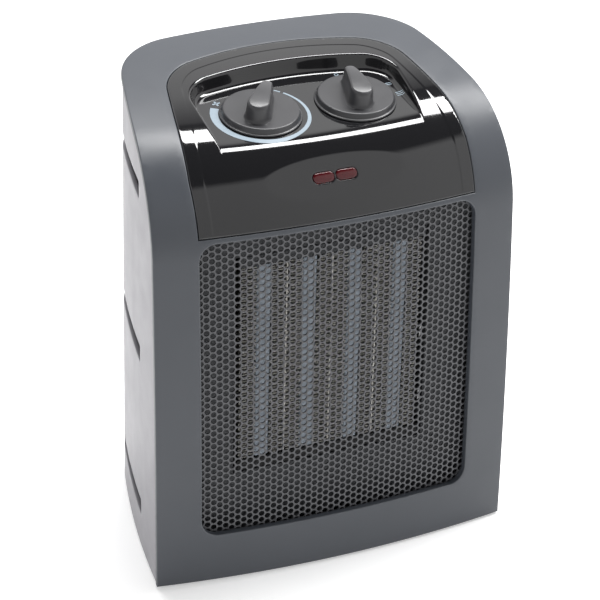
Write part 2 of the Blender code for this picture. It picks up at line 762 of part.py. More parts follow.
def make_element_duct():
    low, high = stack_height()
    inner_x, inner_low, inner_high = 0.050, low - HOLDER_HEIGHT - 0.0005, high + HOLDER_HEIGHT + 0.0005
    duct = add_box(
        "element_duct", (-inner_x - DUCT_WALL, inner_x + DUCT_WALL), (FLANGE_FRONT, BULKHEAD - GAP),
        (inner_low - DUCT_WALL, inner_high + DUCT_WALL), BLACK_PLASTIC,
    )
    flange = add_box("duct_flange", (-FLANGE_HALF_WIDTH, FLANGE_HALF_WIDTH),
                     (FLANGE_FRONT, FLANGE_FRONT + FLANGE_WALL), FLANGE_HEIGHTS)
    boolean(duct, flange, "UNION")
    bore = add_box("duct_bore", (-inner_x, inner_x), (FRONT, BULKHEAD + 0.01), (inner_low, inner_high))
    boolean(duct, bore, "DIFFERENCE")
    cutout_bottom = inner_high + DUCT_WALL + GAP
    cutout = add_cylinder("thermal_cutout", 0.008, (cutout_bottom, cutout_bottom + 0.007), STEEL,
                          place=(0.020, FRONT + 0.045), segments=24)
    soften(cutout)


# ---------------------------------------------------------------- fan and motor


def make_bulkhead():
    """The plate behind the duct, with the fan's throat and the posts for the screws and the motor."""
    plate_limits = (BULKHEAD, BULKHEAD + BULKHEAD_WALL)
    bulkhead = add_box(
        "fan_bulkhead", (-GUIDE_X + GAP, GUIDE_X - GAP), plate_limits, (0.008, 0.190), BLACK_PLASTIC,
    )
    throat = turned_to_back(cylinder_shape(SHROUD_RADIUS, (BULKHEAD - 0.01, BULKHEAD + 0.03), segments=48),
                            ELEMENT_CENTRE_Z)
    boolean(bulkhead, add_object("shroud_throat", throat), "DIFFERENCE")
    posts = screw_holes(0.0045, lambda x, z: (
        BULKHEAD + 0.001, rear_at(x, z + 0.0045, HOUSING_INSET + HOUSING_WALL) - 0.001))
    boolean(bulkhead, add_object("screw_posts", posts), "UNION")
    bores = screw_holes(0.0018, lambda x, z: (rear_at(x, z) - 0.022, REAR + 0.01))
    boolean(bulkhead, add_object("screw_post_bores", bores), "DIFFERENCE")
    motor_posts = joined(*[
        turned_to_back(
            cylinder_shape(MOTOR_POST_RADIUS, (BULKHEAD + 0.001, motor_strap_limits()[0] - GAP), segments=12),
            ELEMENT_CENTRE_Z, side * MOTOR_POST_X)
        for side in (-1, 1)
    ])
    boolean(bulkhead, add_object("motor_posts", motor_posts), "UNION")


def make_shroud():
    outer, back = SHROUD_RADIUS + SHROUD_WALL, BULKHEAD + 0.022
    front = BULKHEAD + BULKHEAD_WALL + GAP
    profile = [(SHROUD_RADIUS, back), (outer, back), (outer, front), (SHROUD_RADIUS, front)]
    add_lathed("fan_shroud", profile, BLACK_PLASTIC, FAN_AXIS, steps=48, closed=True)


def motor_strap_limits():
    front = CORE_FRONT + CORE_DEPTH + 0.0075
    return front, front + 0.0015


def blade_shape(turn):
    """One twisted blade, lofted from a steep root inside the hub to a flatter tip."""
    shape = bmesh.new()
    sections = []
    for step in range(5):
        share = step / 4
        radius = HUB_RADIUS - 0.0015 + (FAN_RADIUS - HUB_RADIUS + 0.0015) * share
        pitch = math.radians(48 - 22 * share)
        half_chord = 0.0085 + 0.0065 * share
        section = []
        for across, lift in ((-1, 0), (0, 0.0016), (1, 0), (0, 0.0030)):
            along, height = across * half_chord, lift - 0.0015
            angle = (along * math.cos(pitch) - height * math.sin(pitch)) / radius
            z = FAN_FRONT + FAN_LENGTH / 2 + along * math.sin(pitch) * 0.62 + height * math.cos(pitch)
            place = Matrix.Rotation(turn + angle, 4, "Z") @ Vector((radius, 0, z))
            section.append(shape.verts.new(place))
        sections.append(section)
    shape.faces.new(sections[0])
    shape.faces.new(sections[-1][::-1])
    for inner, outer in zip(sections, sections[1:]):
        for side in range(4):
            following = (side + 1) % 4
            shape.faces.new((inner[side], outer[side], outer[following], inner[following]))
    return shape


def make_impeller():
    back = FAN_FRONT + FAN_LENGTH
    impeller = add_cylinder(
        "fan_impeller", HUB_RADIUS, (FAN_FRONT, back), BLACK_PLASTIC, FAN_AXIS, segments=28,
    )
    blades = joined(*[blade_shape(2 * math.pi * index / FAN_BLADES) for index in range(FAN_BLADES)])
    for vert in blades.verts:
        vert.co.z = min(max(vert.co.z, FAN_FRONT + 0.0004), back - 0.0004)
    boolean(impeller, add_object("fan_blades", blades, parent=FAN_AXIS), "UNION")
    bore = add_cylinder(
        "hub_bore", SHAFT_RADIUS + GAP, (FAN_FRONT + 0.004, back + 0.01), parent=FAN_AXIS, segments=16,
    )
    boolean(impeller, bore, "DIFFERENCE")


def make_motor():
    core_back = CORE_FRONT + CORE_DEPTH
    z = ELEMENT_CENTRE_Z
    shaft_limits = (FAN_FRONT + 0.004 + GAP, core_back + 0.011)
    add_cylinder("motor_shaft", SHAFT_RADIUS, shaft_limits, STEEL, FAN_AXIS, segments=16)
    rotor_profile = [
        (SHAFT_RADIUS + GAP, core_back + 0.001), (ROTOR_RADIUS, core_back + 0.001),
        (ROTOR_RADIUS, CORE_FRONT - 0.001), (SHAFT_RADIUS + GAP, CORE_FRONT - 0.001),
    ]
    add_lathed("motor_rotor", rotor_profile, LAMINATION, FAN_AXIS, steps=28, closed=True)
    core = add_box("motor_core", (-0.026, 0.026), (CORE_FRONT, core_back), (z - 0.042, z + 0.018), LAMINATION)
    bore = turned_to_back(cylinder_shape(ROTOR_RADIUS + 0.0005, (CORE_FRONT - 0.01, core_back + 0.01)), z)
    boolean(core, add_object("rotor_bore", bore), "DIFFERENCE")
    window = box_shape((-0.017, 0.017), (CORE_FRONT - 0.01, core_back + 0.01), (z - 0.031, z - 0.017))
    boolean(core, add_object("coil_window", window), "DIFFERENCE")
    leg = (z - 0.042 - GAP, z - 0.031 + GAP)
    winding = 0.0055
    coil = add_box("motor_coil", (-0.0155, 0.0155), (CORE_FRONT - winding, core_back + winding),
                   (leg[0] - winding, leg[1] + winding), COPPER)
    leg_hole = box_shape((-0.03, 0.03), (CORE_FRONT - GAP, core_back + GAP), leg)
    boolean(soften(coil, 0.0012), add_object("coil_bore", leg_hole), "DIFFERENCE")


def make_bearing_bracket(name, near, far):
    """A strap across the motor's core, bent at both ends onto it, with the bearing for the shaft."""
    low, high = sorted((near, far))
    z = ELEMENT_CENTRE_Z
    bracket = add_box(name, (-0.0245, 0.0245), (low, high), (z - 0.006, z + 0.006), STEEL)
    plate = 0.0015 if far > near else -0.0015
    hollow = box_shape((-0.0225, 0.0225), sorted((near - plate, far - plate)), (z - 0.01, z + 0.01))
    boolean(bracket, add_object(f"{name}_bend", hollow), "DIFFERENCE")
    boss = turned_to_back(cylinder_shape(0.0045, sorted((far, far - 2.2 * plate)), segments=20), z)
    boolean(bracket, add_object(f"{name}_boss", boss), "UNION")
    bore = turned_to_back(cylinder_shape(SHAFT_RADIUS + GAP, (low - 0.01, high + 0.01), segments=16), z)
    boolean(bracket, add_object(f"{name}_bore", bore), "DIFFERENCE")


def make_motor_supports():
    core_back = CORE_FRONT + CORE_DEPTH
    make_bearing_bracket("motor_bracket_front", CORE_FRONT - GAP, CORE_FRONT - 0.007)
    make_bearing_bracket("motor_bracket_rear", core_back + GAP, core_back + 0.007)
    reach = MOTOR_POST_X + MOTOR_POST_RADIUS
    strap = add_box("motor_mount", (-reach, reach), motor_strap_limits(),
                    (ELEMENT_CENTRE_Z - 0.005, ELEMENT_CENTRE_Z + 0.005), STEEL)
    shaft_hole = cylinder_shape(0.003, (CORE_FRONT, REAR + 0.01), segments=16)
    shaft_hole = turned_to_back(shaft_hole, ELEMENT_CENTRE_Z)
    boolean(strap, add_object("mount_hole", shaft_hole), "DIFFERENCE")


def make_air_guides():
    """Upright plates inside the side slots, which lead the air to the fan and keep fingers away from it."""
    for name, side in (("left", -1), ("right", 1)):
        add_box(
            f"air_guide_{name}", sorted((side * GUIDE_X, side * (GUIDE_X + 0.0015))),
            (SLOT_START - 0.010, SLOT_END + 0.0015), (BASE_BOTTOM + BASE_WALL + GAP, 0.205), BLACK_PLASTIC,
        )


# ---------------------------------------------------------------- tip-over switch and cord gland


def make_tip_switch():
    x, y = PLUNGER_PLACE
    top = BASE_BOTTOM + BASE_WALL
    collar = (top + 0.0045, top + 0.0060)
    axis = add_empty("tip_plunger_axis", (x, y, 0))
    pin_top = collar[1] + 0.003
    profile = [
        (0, pin_top), (0.0012, pin_top), (0.0012, collar[1]), (0.0045, collar[1]), (0.0045, collar[0]),
        (PLUNGER_RADIUS, collar[0]), (PLUNGER_RADIUS, 0.0004), (PLUNGER_RADIUS - 0.0004, 0), (0, 0),
    ]
    add_lathed("tip_plunger", profile, BLACK_PLASTIC, axis, steps=20)
    switch = add_box(
        "tip_switch_body", (x - 0.0075, x + 0.0075), (y - 0.005, y + 0.005), (top + GAP, top + 0.024),
        BLACK_PLASTIC,
    )
    bay = box_shape((x - 0.0055, x + 0.0055), (y - 0.01, y + 0.01), (top - 0.01, pin_top + GAP))
    boolean(soften(switch), add_object("tip_switch_bay", bay), "DIFFERENCE")


def make_cord_gland():
    """A bushing through the back wall, clipped between its two flanges, with the cord's hole through it."""
    outer_flange = (GAP, 0.0010)
    inner_flange = -HOUSING_WALL - 0.0012
    bore, body, flange = 0.0036, GLAND_RADIUS, GLAND_RADIUS + 0.0017
    profile = [
        (bore, outer_flange[1]), (flange, outer_flange[1]),
        (flange, outer_flange[0]), (body, outer_flange[0]),
        (body, inner_flange), (body - 0.0012, inner_flange - 0.005), (bore, inner_flange - 0.005),
    ]
    add_lathed("cord_gland", profile, RUBBER, GLAND_AXIS, steps=28, closed=True)


# ---------------------------------------------------------------- build

make_front_bezel()
make_rear_housing()
make_control_panel()
make_front_grille()
make_base_plate()
make_feet()
make_housing_screws()
make_thermostat()
make_mode_switch()
make_indicators()
make_element_stack()
make_element_holders()
make_terminals()
make_element_duct()
make_bulkhead()
make_shroud()
make_impeller()
make_motor()
make_motor_supports()
make_air_guides()
make_tip_switch()
make_cord_gland()
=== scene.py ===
"""The looks of a small ceramic space heater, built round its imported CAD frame.

Everything is in metres in the frame's axes: +X is right seen from the front, +Y is back and +Z is up.
"""

import json
from math import asin, atan, ceil, cos, dist, pi, radians, sin, sqrt, tan

import bpy
import numpy as np
from mathutils import Matrix, Vector
from mathutils.geometry import delaunay_2d_cdt
from mathutils.kdtree import KDTree


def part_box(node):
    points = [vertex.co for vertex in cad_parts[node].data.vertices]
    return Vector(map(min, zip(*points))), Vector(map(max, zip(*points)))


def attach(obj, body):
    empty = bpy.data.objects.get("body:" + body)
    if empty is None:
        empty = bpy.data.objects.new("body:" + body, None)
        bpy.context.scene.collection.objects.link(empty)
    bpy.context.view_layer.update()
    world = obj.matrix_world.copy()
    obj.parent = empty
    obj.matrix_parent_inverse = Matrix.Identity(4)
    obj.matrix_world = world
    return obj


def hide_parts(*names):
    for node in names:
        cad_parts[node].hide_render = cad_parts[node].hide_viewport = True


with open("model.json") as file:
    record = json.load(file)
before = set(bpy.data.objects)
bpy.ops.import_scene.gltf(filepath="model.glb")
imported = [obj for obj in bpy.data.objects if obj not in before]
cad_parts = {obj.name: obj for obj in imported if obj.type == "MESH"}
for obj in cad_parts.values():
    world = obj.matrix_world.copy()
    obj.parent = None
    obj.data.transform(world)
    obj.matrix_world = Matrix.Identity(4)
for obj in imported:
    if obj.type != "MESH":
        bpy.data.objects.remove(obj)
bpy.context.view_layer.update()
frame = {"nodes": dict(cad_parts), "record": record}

# -------- dimensions of the casing, as in the CAD

WIDTH = 0.185
DEPTH = 0.138
HALF_WIDTH = WIDTH / 2
FRONT = -DEPTH / 2
REAR = DEPTH / 2
FOOT_GAP = 0.001
GAP = 0.0003

# Side profile: three tangent arcs, each a radius and its end's heading in degrees back from vertical.
PROFILE_ARCS = ((2.900, 3.44), (0.0556, 75.2), (0.333, 91.0))
FRONT_BOW = 0.0075
SIDE_TAPER = 0.093
SIDE_CURVE = 0.93
REAR_BOW = 1.3
REAR_LEAN = 0.0525
REAR_CORNER = 0.024
REAR_TOP = 0.2335          # height of the casing's top at its back

BEZEL_WALL = 0.0032
HOUSING_INSET = 0.0006
HOUSING_WALL = 0.0022
PANEL_WALL = 0.0018

GRILLE_HALF_WIDTH = 0.0703
GRILLE_BOTTOM = 0.0267
GRILLE_TOP = 0.1827
GRILLE_CORNER = 0.0085

PANEL_BOTTOM = 0.1856
PANEL_MARGIN = 0.0208
PANEL_HALF_WIDTH = 0.070
PANEL_REAR = FRONT + 0.1023
PANEL_REAR_BOW = 3.5
PANEL_CORNER = 0.014
STEP_IN = 0.0066           # the panel's middle is sunk from here inwards
STEP_RAMP = 0.0005
STEP_DEPTH = 0.00012
OVAL_SIZE = (0.0350, 0.0108)
OVAL_DEPTH = 0.0009

TRAY_HALF_WIDTH = 0.0535
TRAY_REAR = FRONT + 0.086
TRAY_REAR_BOW = 2.8
TRAY_CORNER = 0.013
TRAY_DRAFT = 0.0022
TRAY_WALL_SLOPE = 4.2
TRAY_FILLET = 0.0030
TRAY_RIM = 0.0014
TRAY_LIP = (FRONT + 0.031, 0.2183)
TRAY_TILT = radians(7.4)
LIP_ROUND = 0.0021

KNOB_SPREAD = 0.0242
KNOB_SHIFT = 0.0018
KNOB_DEPTH = FRONT + 0.055
THERMOSTAT_POINTER = radians(56)
MODE_POINTER = radians(84)
LENS_CENTRES = (-0.0062, 0.0053)
LENS_HEADING = radians(36.2)
LENS_SIZE = (0.0106, 0.0050)

FAN_HEIGHT = 0.111

SLOT_HEIGHTS = (0.0236, 0.1111, 0.1986)
SLOT_SIZES = (0.0088, 0.0066)    # height of a side slot at its front and back ends
SLOT_START = FRONT + 0.044
SLOT_END = FRONT + 0.108
INTAKE_RADIUS = 0.050
INTAKE_PITCH = 0.0065
INTAKE_SLOT = 0.0030
INTAKE_RIB = 0.004
SCREW_X = 0.036
SCREW_HEIGHTS = (0.022, 0.180)
SEAT_RADIUS = 0.0042       # of the cup round a screw
SEAT_DEPTH = 0.0010
GLAND_HEIGHT = 0.018
GLAND_HOLE = 0.0068

SHARP_ANGLE = radians(40)
BATCH = 4000               # points compared with a whole outline at once

# -------- casing geometry


def profile_table():
    """Rows of distance along the side profile, y, z and heading, from the foot of the front to the back."""
    along, y, z, heading = 0.0, FRONT, FOOT_GAP, 0.0
    rows = [(along, y, z, heading)]
    steps = 200
    for radius, end_degrees in PROFILE_ARCS:
        end = radians(end_degrees)
        for step in range(1, steps + 1):
            turned = heading + (end - heading) * step / steps
            rows.append((
                along + radius * (turned - heading),
                y + radius * (cos(heading) - cos(turned)),
                z + radius * (sin(turned) - sin(heading)),
                turned,
            ))
        along, y, z, heading = rows[-1]
    return np.array(rows).T


PROFILE_S, PROFILE_Y, PROFILE_Z, PROFILE_HEADING = profile_table()


def bow(x):
    return FRONT_BOW * (x / HALF_WIDTH) ** 2


def along_at_y(y):
    return np.interp(y, PROFILE_Y, PROFILE_S)


def along_at_z(z):
    return np.interp(z, PROFILE_Z, PROFILE_S)


def along_at_heading(heading):
    return np.interp(heading, PROFILE_HEADING, PROFILE_S)


def profile_at(s):
    """y, z and heading at a distance along the side profile."""
    return tuple(np.interp(s, PROFILE_S, row) for row in (PROFILE_Y, PROFILE_Z, PROFILE_HEADING))


def on_profile(places):
    """The (x, s) points for (x, y) places seen from above."""
    return [(x, float(along_at_y(y - bow(x)))) for x, y in places]


def casing(x, s):
    """Points and outward normals on the casing's front and top: x is across, s along the side profile."""
    y, z, heading = profile_at(s)
    points = np.stack([x, y + bow(x), z], axis=-1)
    slope = 2 * FRONT_BOW * x / HALF_WIDTH ** 2
    normals = np.stack([slope * np.cos(heading), -np.cos(heading), np.sin(heading)], axis=-1)
    return points, normals / np.linalg.norm(normals, axis=-1, keepdims=True)


def side_at(y, inset=0.0):
    behind = y - FRONT - FRONT_BOW
    return HALF_WIDTH - inset - SIDE_TAPER * behind - SIDE_CURVE * behind ** 2


def rear_at(x, z, inset=0.0):
    return REAR - inset - REAR_LEAN * z - REAR_BOW * x ** 2


def conic(start, corner, end, t, weight=0.75):
    """A point at t on the round corner between start and end."""
    parts = ((1 - t) ** 2, 2 * weight * t * (1 - t), t ** 2)
    total = sum(parts)
    points = (start, corner, end)
    return tuple(sum(part * point[axis] for part, point in zip(parts, points)) / total for axis in (0, 1))


def plan_back(side, rear, corner, steps=18):
    """Half an outline seen from above, from its right rear corner to the middle of the back."""
    x = side(REAR)
    for _ in range(20):
        x = side(rear(x))
    start_y, end_x = rear(x) - corner, x - corner
    ends = ((side(start_y), start_y), (x, rear(x)), (end_x, rear(end_x)))
    shares = [k / steps for k in range(steps + 1)]
    back = [end_x * (1 - share) for share in shares[1:]]
    return [conic(*ends, share) for share in shares] + [(x, rear(x)) for x in back]


def skin_outline(side, rear, corner, first_s):
    """A closed outline on the casing as (x, s) points, straight across at first_s."""
    back = on_profile(plan_back(side, rear, corner))
    half = []
    for s in np.linspace(first_s, back[0][1], 60, endpoint=False):
        y = float(profile_at(s)[0])
        x = side(y)
        for _ in range(5):
            x = side(y + bow(x))
        half.append((x, float(s)))
    half += back
    return half + [(-x, s) for x, s in half[-2::-1]]


def panel_outline(grow=0.0):
    return skin_outline(
        side=lambda y: min(PANEL_HALF_WIDTH, side_at(y, PANEL_MARGIN)) + grow,
        rear=lambda x: PANEL_REAR - PANEL_REAR_BOW * x ** 2 + grow,
        corner=PANEL_CORNER,
        first_s=float(along_at_z(PANEL_BOTTOM - grow)),
    )


def rounded_rectangle(half_x, half_y, radius, steps=6):
    points = []
    for quarter, (side_x, side_y) in enumerate(((1, 1), (-1, 1), (-1, -1), (1, -1))):
        for step in range(steps + 1):
            angle = radians(90 * (quarter + step / steps))
            points.append((
                side_x * (half_x - radius) + radius * cos(angle),
                side_y * (half_y - radius) + radius * sin(angle),
            ))
    return points


# -------- mesh helpers


def new_mesh(name, shape):
    verts, faces = shape
    mesh = bpy.data.meshes.new(name)
    mesh.from_pydata([tuple(v) for v in verts], [], [tuple(f) for f in faces])
    return mesh


def placed(name, data):
    """A new object in the scene."""
    obj = bpy.data.objects.new(name, data)
    bpy.context.scene.collection.objects.link(obj)
    return obj


def as_piece(name, shape, slot, replaced=(), wear=None, body="heater"):
    """Make a mesh piece that rides on a CAD body and has its slot's material."""
    obj = placed(name, new_mesh(name, shape))
    mesh = obj.data
    if wear is not None:
        layer = mesh.attributes.new("edge_wear", "FLOAT", "POINT")
        layer.data.foreach_set("value", np.asarray(wear, dtype=np.float32))
    mesh.shade_smooth()
    mesh.set_sharp_from_angle(angle=SHARP_ANGLE)
    mesh.materials.append(MATERIALS[slot])
    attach(obj, body)
    if replaced:
        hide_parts(*replaced)
    return obj


def densified(loop, spacing):
    """The same closed loop with no two neighbours further apart than spacing."""
    points = []
    for start, end in zip(loop, loop[1:] + loop[:1]):
        count = max(1, ceil(dist(start, end) / spacing))
        for k in range(count):
            points.append(tuple(start[axis] + (end[axis] - start[axis]) * k / count for axis in (0, 1)))
    return points


def wound(loop, direction):
    """The loop, turned round if need be so that it runs counter-clockwise (1) or clockwise (-1)."""
    area = sum(a[0] * b[1] - b[0] * a[1] for a, b in zip(loop, loop[1:] + loop[:1]))
    return loop if area * direction > 0 else loop[::-1]


def within(points, loop):
    """For each point, whether it lies inside a closed loop."""
    a = np.array(loop)
    b = np.roll(a, -1, axis=0)
    rise = np.where(a[:, 1] == b[:, 1], 1.0, b[:, 1] - a[:, 1])
    inside = []
    for part in np.array_split(points, max(1, len(points) // BATCH)):
        x, y = part[:, :1], part[:, 1:2]
        crossed = (a[:, 1] > y) != (b[:, 1] > y)
        at = a[:, 0] + (y - a[:, 1]) * (b[:, 0] - a[:, 0]) / rise
        inside.append(np.sum(crossed & (x < at), axis=1) % 2 == 1)
    return np.concatenate(inside)


def distance_to(x, y, line):
    """Distance of points from an open line of (x, y) points."""
    a, b = np.array(line[:-1]), np.array(line[1:])
    run = b - a
    length = np.sum(run ** 2, axis=1)
    nearest = np.empty(len(x))
    for part in np.array_split(np.arange(len(x)), max(1, len(x) // BATCH)):
        px, py = x[part, None], y[part, None]
        share = np.clip(((px - a[:, 0]) * run[:, 0] + (py - a[:, 1]) * run[:, 1]) / length, 0, 1)
        gap_x, gap_y = px - a[:, 0] - share * run[:, 0], py - a[:, 1] - share * run[:, 1]
        nearest[part] = np.sqrt(np.min(gap_x ** 2 + gap_y ** 2, axis=1))
    return nearest


def offset_line(line, distance):
    """An open line moved to its left by a distance."""
    points = np.array(line)
    run = np.gradient(points, axis=0)
    run /= np.linalg.norm(run, axis=1, keepdims=True)
    return points + distance * np.stack([-run[:, 1], run[:, 0]], axis=1)


def evened(line, spacing):
    """An open line resampled at even steps."""
    points = np.array(line)
    reach = np.concatenate([[0], np.cumsum(np.linalg.norm(np.diff(points, axis=0), axis=1))])
    places = np.linspace(0, reach[-1], max(2, round(reach[-1] / spacing)))
    return np.stack([np.interp(places, reach, points[:, axis]) for axis in (0, 1)], axis=1)


def filling(loops, lines, spacing):
    """Staggered grid points inside the first loop, outside the others and clear of every line."""
    fixed = np.vstack([np.array(line) for line in [*loops, *lines]])
    low, high = fixed.min(axis=0), fixed.max(axis=0)
    rows = np.arange(low[1], high[1], spacing * sqrt(0.75))
    columns = np.arange(low[0], high[0], spacing)
    grid = np.array([(x + (row % 2) * spacing / 2, y) for row, y in enumerate(rows) for x in columns])
    keep = within(grid, loops[0])
    for hole in loops[1:]:
        keep &= ~within(grid, hole)
    grid = grid[keep]
    tree = KDTree(len(fixed))
    for index, point in enumerate(fixed):
        tree.insert((point[0], point[1], 0), index)
    tree.balance()
    clear = [tree.find((x, y, 0))[2] > 0.55 * spacing for x, y in grid]
    return grid[np.array(clear)]


def sheet(outline, holes, surface, wall, roll, spacing, edge_spacing, lines=(), roll_steps=4):
    """A closed sheet that follows surface(u, v), with rolled edges round its outline and its holes.

    Returns the shape and how far each of its vertices is exposed to wear, from 0 to 1.
    """
    loops = [densified(wound(outline, 1), edge_spacing)]
    loops += [densified(wound(hole, -1), edge_spacing) for hole in holes]
    places, edges, loop_starts = [], [], []
    for line in [*loops, *lines]:
        first = len(places)
        loop_starts.append(first)
        edges += [(first + k, first + k + 1) for k in range(len(line) - 1)]
        if len(loop_starts) <= len(loops):
            edges.append((first + len(line) - 1, first))
        places += [tuple(point) for point in line]
    places += [tuple(point) for point in filling(loops, lines, spacing)]
    spots, _, triangles, sources, _, _ = delaunay_2d_cdt([Vector(p) for p in places], edges, [], 0, 1e-9)
    found = {source: index for index, group in enumerate(sources) for source in group}
    spots = np.array([tuple(spot) for spot in spots])
    triangles = np.array(triangles)
    centres = spots[triangles].mean(axis=1)
    keep = within(centres, loops[0])
    for hole in loops[1:]:
        keep &= ~within(centres, hole)
    triangles = triangles[keep]

    points, normals = surface(spots[:, 0], spots[:, 1])
    verts = list(points)
    wear = [0.0] * len(verts)
    faces = list(triangles)
    inner = {}
    for loop, first in zip(loops, loop_starts):
        ids = [found[first + k] for k in range(len(loop))]
        around = np.roll(points[ids], -1, axis=0) - np.roll(points[ids], 1, axis=0)
        outward = np.cross(around, normals[ids])
        outward /= np.linalg.norm(outward, axis=1, keepdims=True)
        before = ids
        for step in range(roll_steps + 2):
            if step <= roll_steps:
                angle = pi / 2 * step / roll_steps
                inwards, down = 1 - sin(angle), 1 - cos(angle)
                ring = points[ids] - roll * (inwards * outward + down * normals[ids])
            else:
                ring = points[ids] - wall * normals[ids]
            if step == 0:
                for index, place in zip(ids, ring):
                    verts[index] = place
                continue
            after = list(range(len(verts), len(verts) + len(ids)))
            verts += list(ring)
            wear += [sin(pi * min(step / roll_steps, 1.0))] * len(ids)
            for k in range(len(ids)):
                following = (k + 1) % len(ids)
                faces.append((before[following], before[k], after[k], after[following]))
            before = after
        inner.update(zip(ids, before))
    for index in sorted(set(triangles.ravel())):
        if index not in inner:
            inner[index] = len(verts)
            verts.append(points[index] - wall * normals[index])
            wear.append(0.0)
    faces += [(inner[a], inner[c], inner[b]) for a, b, c in triangles]
    used = sorted({index for face in faces for index in face})
    renumbered = {old: new for new, old in enumerate(used)}
    verts = [verts[index] for index in used]
    faces = [tuple(renumbered[index] for index in face) for face in faces]
    return (verts, faces), [wear[index] for index in used]


def band(one, other):
    """Faces between two closed rings of vertex numbers, triangles where one ring is a single point."""
    corners = zip(one, other, other[1:] + other[:1], one[1:] + one[:1])
    return [tuple(dict.fromkeys(face)) for face in corners]


def revolved(profile, steps):
    """A profile of (radius, height) points turned about Z, from the top down the outside."""
    verts, faces, rings = [], [], []
    for radius, height in profile:
        if radius < 1e-7:
            rings.append([len(verts)] * steps)
            verts.append((0, 0, height))
        else:
            rings.append(list(range(len(verts), len(verts) + steps)))
            angles = [2 * pi * k / steps for k in range(steps)]
            verts += [(radius * cos(angle), radius * sin(angle), height) for angle in angles]
    for upper, lower in zip(rings, rings[1:]):
        faces += band(upper, lower)
    return verts, faces


def rounded_profile(corners, steps=5):
    """A profile of (radius, height, rounding) corners, with each rounding drawn as a short curve."""
    points = []
    for index, (radius, height, rounding) in enumerate(corners):
        if rounding == 0:
            points.append((radius, height))
            continue
        here = Vector((radius, height))
        before = (Vector(corners[index - 1][:2]) - here).normalized() * rounding
        after = (Vector(corners[index + 1][:2]) - here).normalized() * rounding
        for k in range(steps + 1):
            t = k / steps
            points.append(tuple(here + (1 - t) ** 2 * before + t ** 2 * after))
    return points


def lofted(rings):
    """A closed shape through rings of equally many points, given from the lowest ring up."""
    verts = [point for ring in rings for point in ring]
    count, top = len(rings[0]), len(verts) - len(rings[0])
    faces = [tuple(reversed(range(count))), tuple(range(top, top + count))]
    for a in range(0, top, count):
        for k in range(count):
            following = (k + 1) % count
            faces.append((a + k, a + following, a + count + following, a + count + k))
    return verts, faces


def bar_faces(count, first=0):
    """Faces of a long bar with four edges of count points each, of which the last two are below."""
    edges = [first + k * count for k in (0, 1, 3, 2)]
    faces = [tuple(reversed(edges)), tuple(edge + count - 1 for edge in edges)]
    for a, b in zip(edges, edges[1:] + edges[:1]):
        faces += [(a + k, b + k, b + k + 1, a + k + 1) for k in range(count - 1)]
    return faces


def merged(*shapes):
    """Several (vertices, faces) shapes as one."""
    verts, faces = [], []
    for shape_verts, shape_faces in shapes:
        faces += [tuple(index + len(verts) for index in face) for face in shape_faces]
        verts += shape_verts
    return verts, faces


def moved(shape, matrix):
    return [tuple(matrix @ Vector(v)) for v in shape[0]], shape[1]


def carved(obj, cutter_shape):
    """Cut a shape out of a piece for good."""
    cutter = placed("cutter", new_mesh("cutter", cutter_shape))
    cut = obj.modifiers.new("cut", "BOOLEAN")
    cut.object = cutter
    cut.operation = "DIFFERENCE"
    cut.solver = "EXACT"
    bpy.context.view_layer.update()
    result = bpy.data.meshes.new_from_object(obj.evaluated_get(bpy.context.evaluated_depsgraph_get()))
    obj.modifiers.clear()
    obj.data = result
    bpy.data.objects.remove(cutter)
    result.set_sharp_from_angle(angle=SHARP_ANGLE)


# -------- nodes and materials


def new_node(owner, kind, **settings):
    """A new node in the tree of a material or world."""
    node = owner.node_tree.nodes.new("ShaderNode" + kind)
    for name, value in settings.items():
        setattr(node, name, value)
    return node


def join(owner, source, socket):
    owner.node_tree.links.new(source, socket)


def fill(inputs, values):
    for name, value in values.items():
        inputs[name].default_value = value


def shader_inputs(material):
    return material.node_tree.nodes["Principled BSDF"].inputs


def made(painter):
    """A new material, named after the function that paints it."""
    material = bpy.data.materials.new(painter.__name__)
    material.use_nodes = True
    painter(material)
    return material


def paint(material, colour, roughness, metallic=0.0):
    fill(shader_inputs(material), {"Base Color": (*colour, 1), "Roughness": roughness, "Metallic": metallic})


def noise(material, scale, detail=3.0, stretch=(1, 1, 1)):
    """A noise texture in the piece's own metres; scale is in cycles per metre."""
    coordinates, mapping, texture = (new_node(material, kind) for kind in ("TexCoord", "Mapping", "TexNoise"))
    fill(mapping.inputs, {"Scale": stretch})
    fill(texture.inputs, {"Scale": scale, "Detail": detail})
    join(material, coordinates.outputs["Object"], mapping.inputs["Vector"])
    join(material, mapping.outputs["Vector"], texture.inputs["Vector"])
    return texture.outputs["Fac"]


def ranged(owner, source, low, high, fade=(0.3, 0.7)):
    """Map a value that runs through the fade to one that runs from low to high."""
    node = new_node(owner, "MapRange")
    fill(node.inputs, {"From Min": fade[0], "From Max": fade[1], "To Min": low, "To Max": high})
    join(owner, source, node.inputs["Value"])
    return node.outputs["Result"]


def product(owner, first, second):
    node = new_node(owner, "Math", operation="MULTIPLY")
    join(owner, first, node.inputs[0])
    join(owner, second, node.inputs[1])
    return node.outputs["Value"]


def blend_colour(material, factor, colour):
    """Mix the surface's colour towards another one by a factor."""
    mix = new_node(material, "Mix", data_type="RGBA")
    base = shader_inputs(material)["Base Color"]
    if base.is_linked:
        join(material, base.links[0].from_socket, mix.inputs["A"])
    else:
        mix.inputs["A"].default_value = base.default_value
    mix.inputs["B"].default_value = (*colour, 1)
    join(material, factor, mix.inputs["Factor"])
    join(material, mix.outputs["Result"], base)


def mottle(material, scale, amount, colour, detail=3.0, fade=(0.3, 0.7)):
    """Mix the surface's colour towards another one in patches, by up to an amount."""
    patches = ranged(material, noise(material, scale, detail), 0.0, amount, fade)
    blend_colour(material, patches, colour)


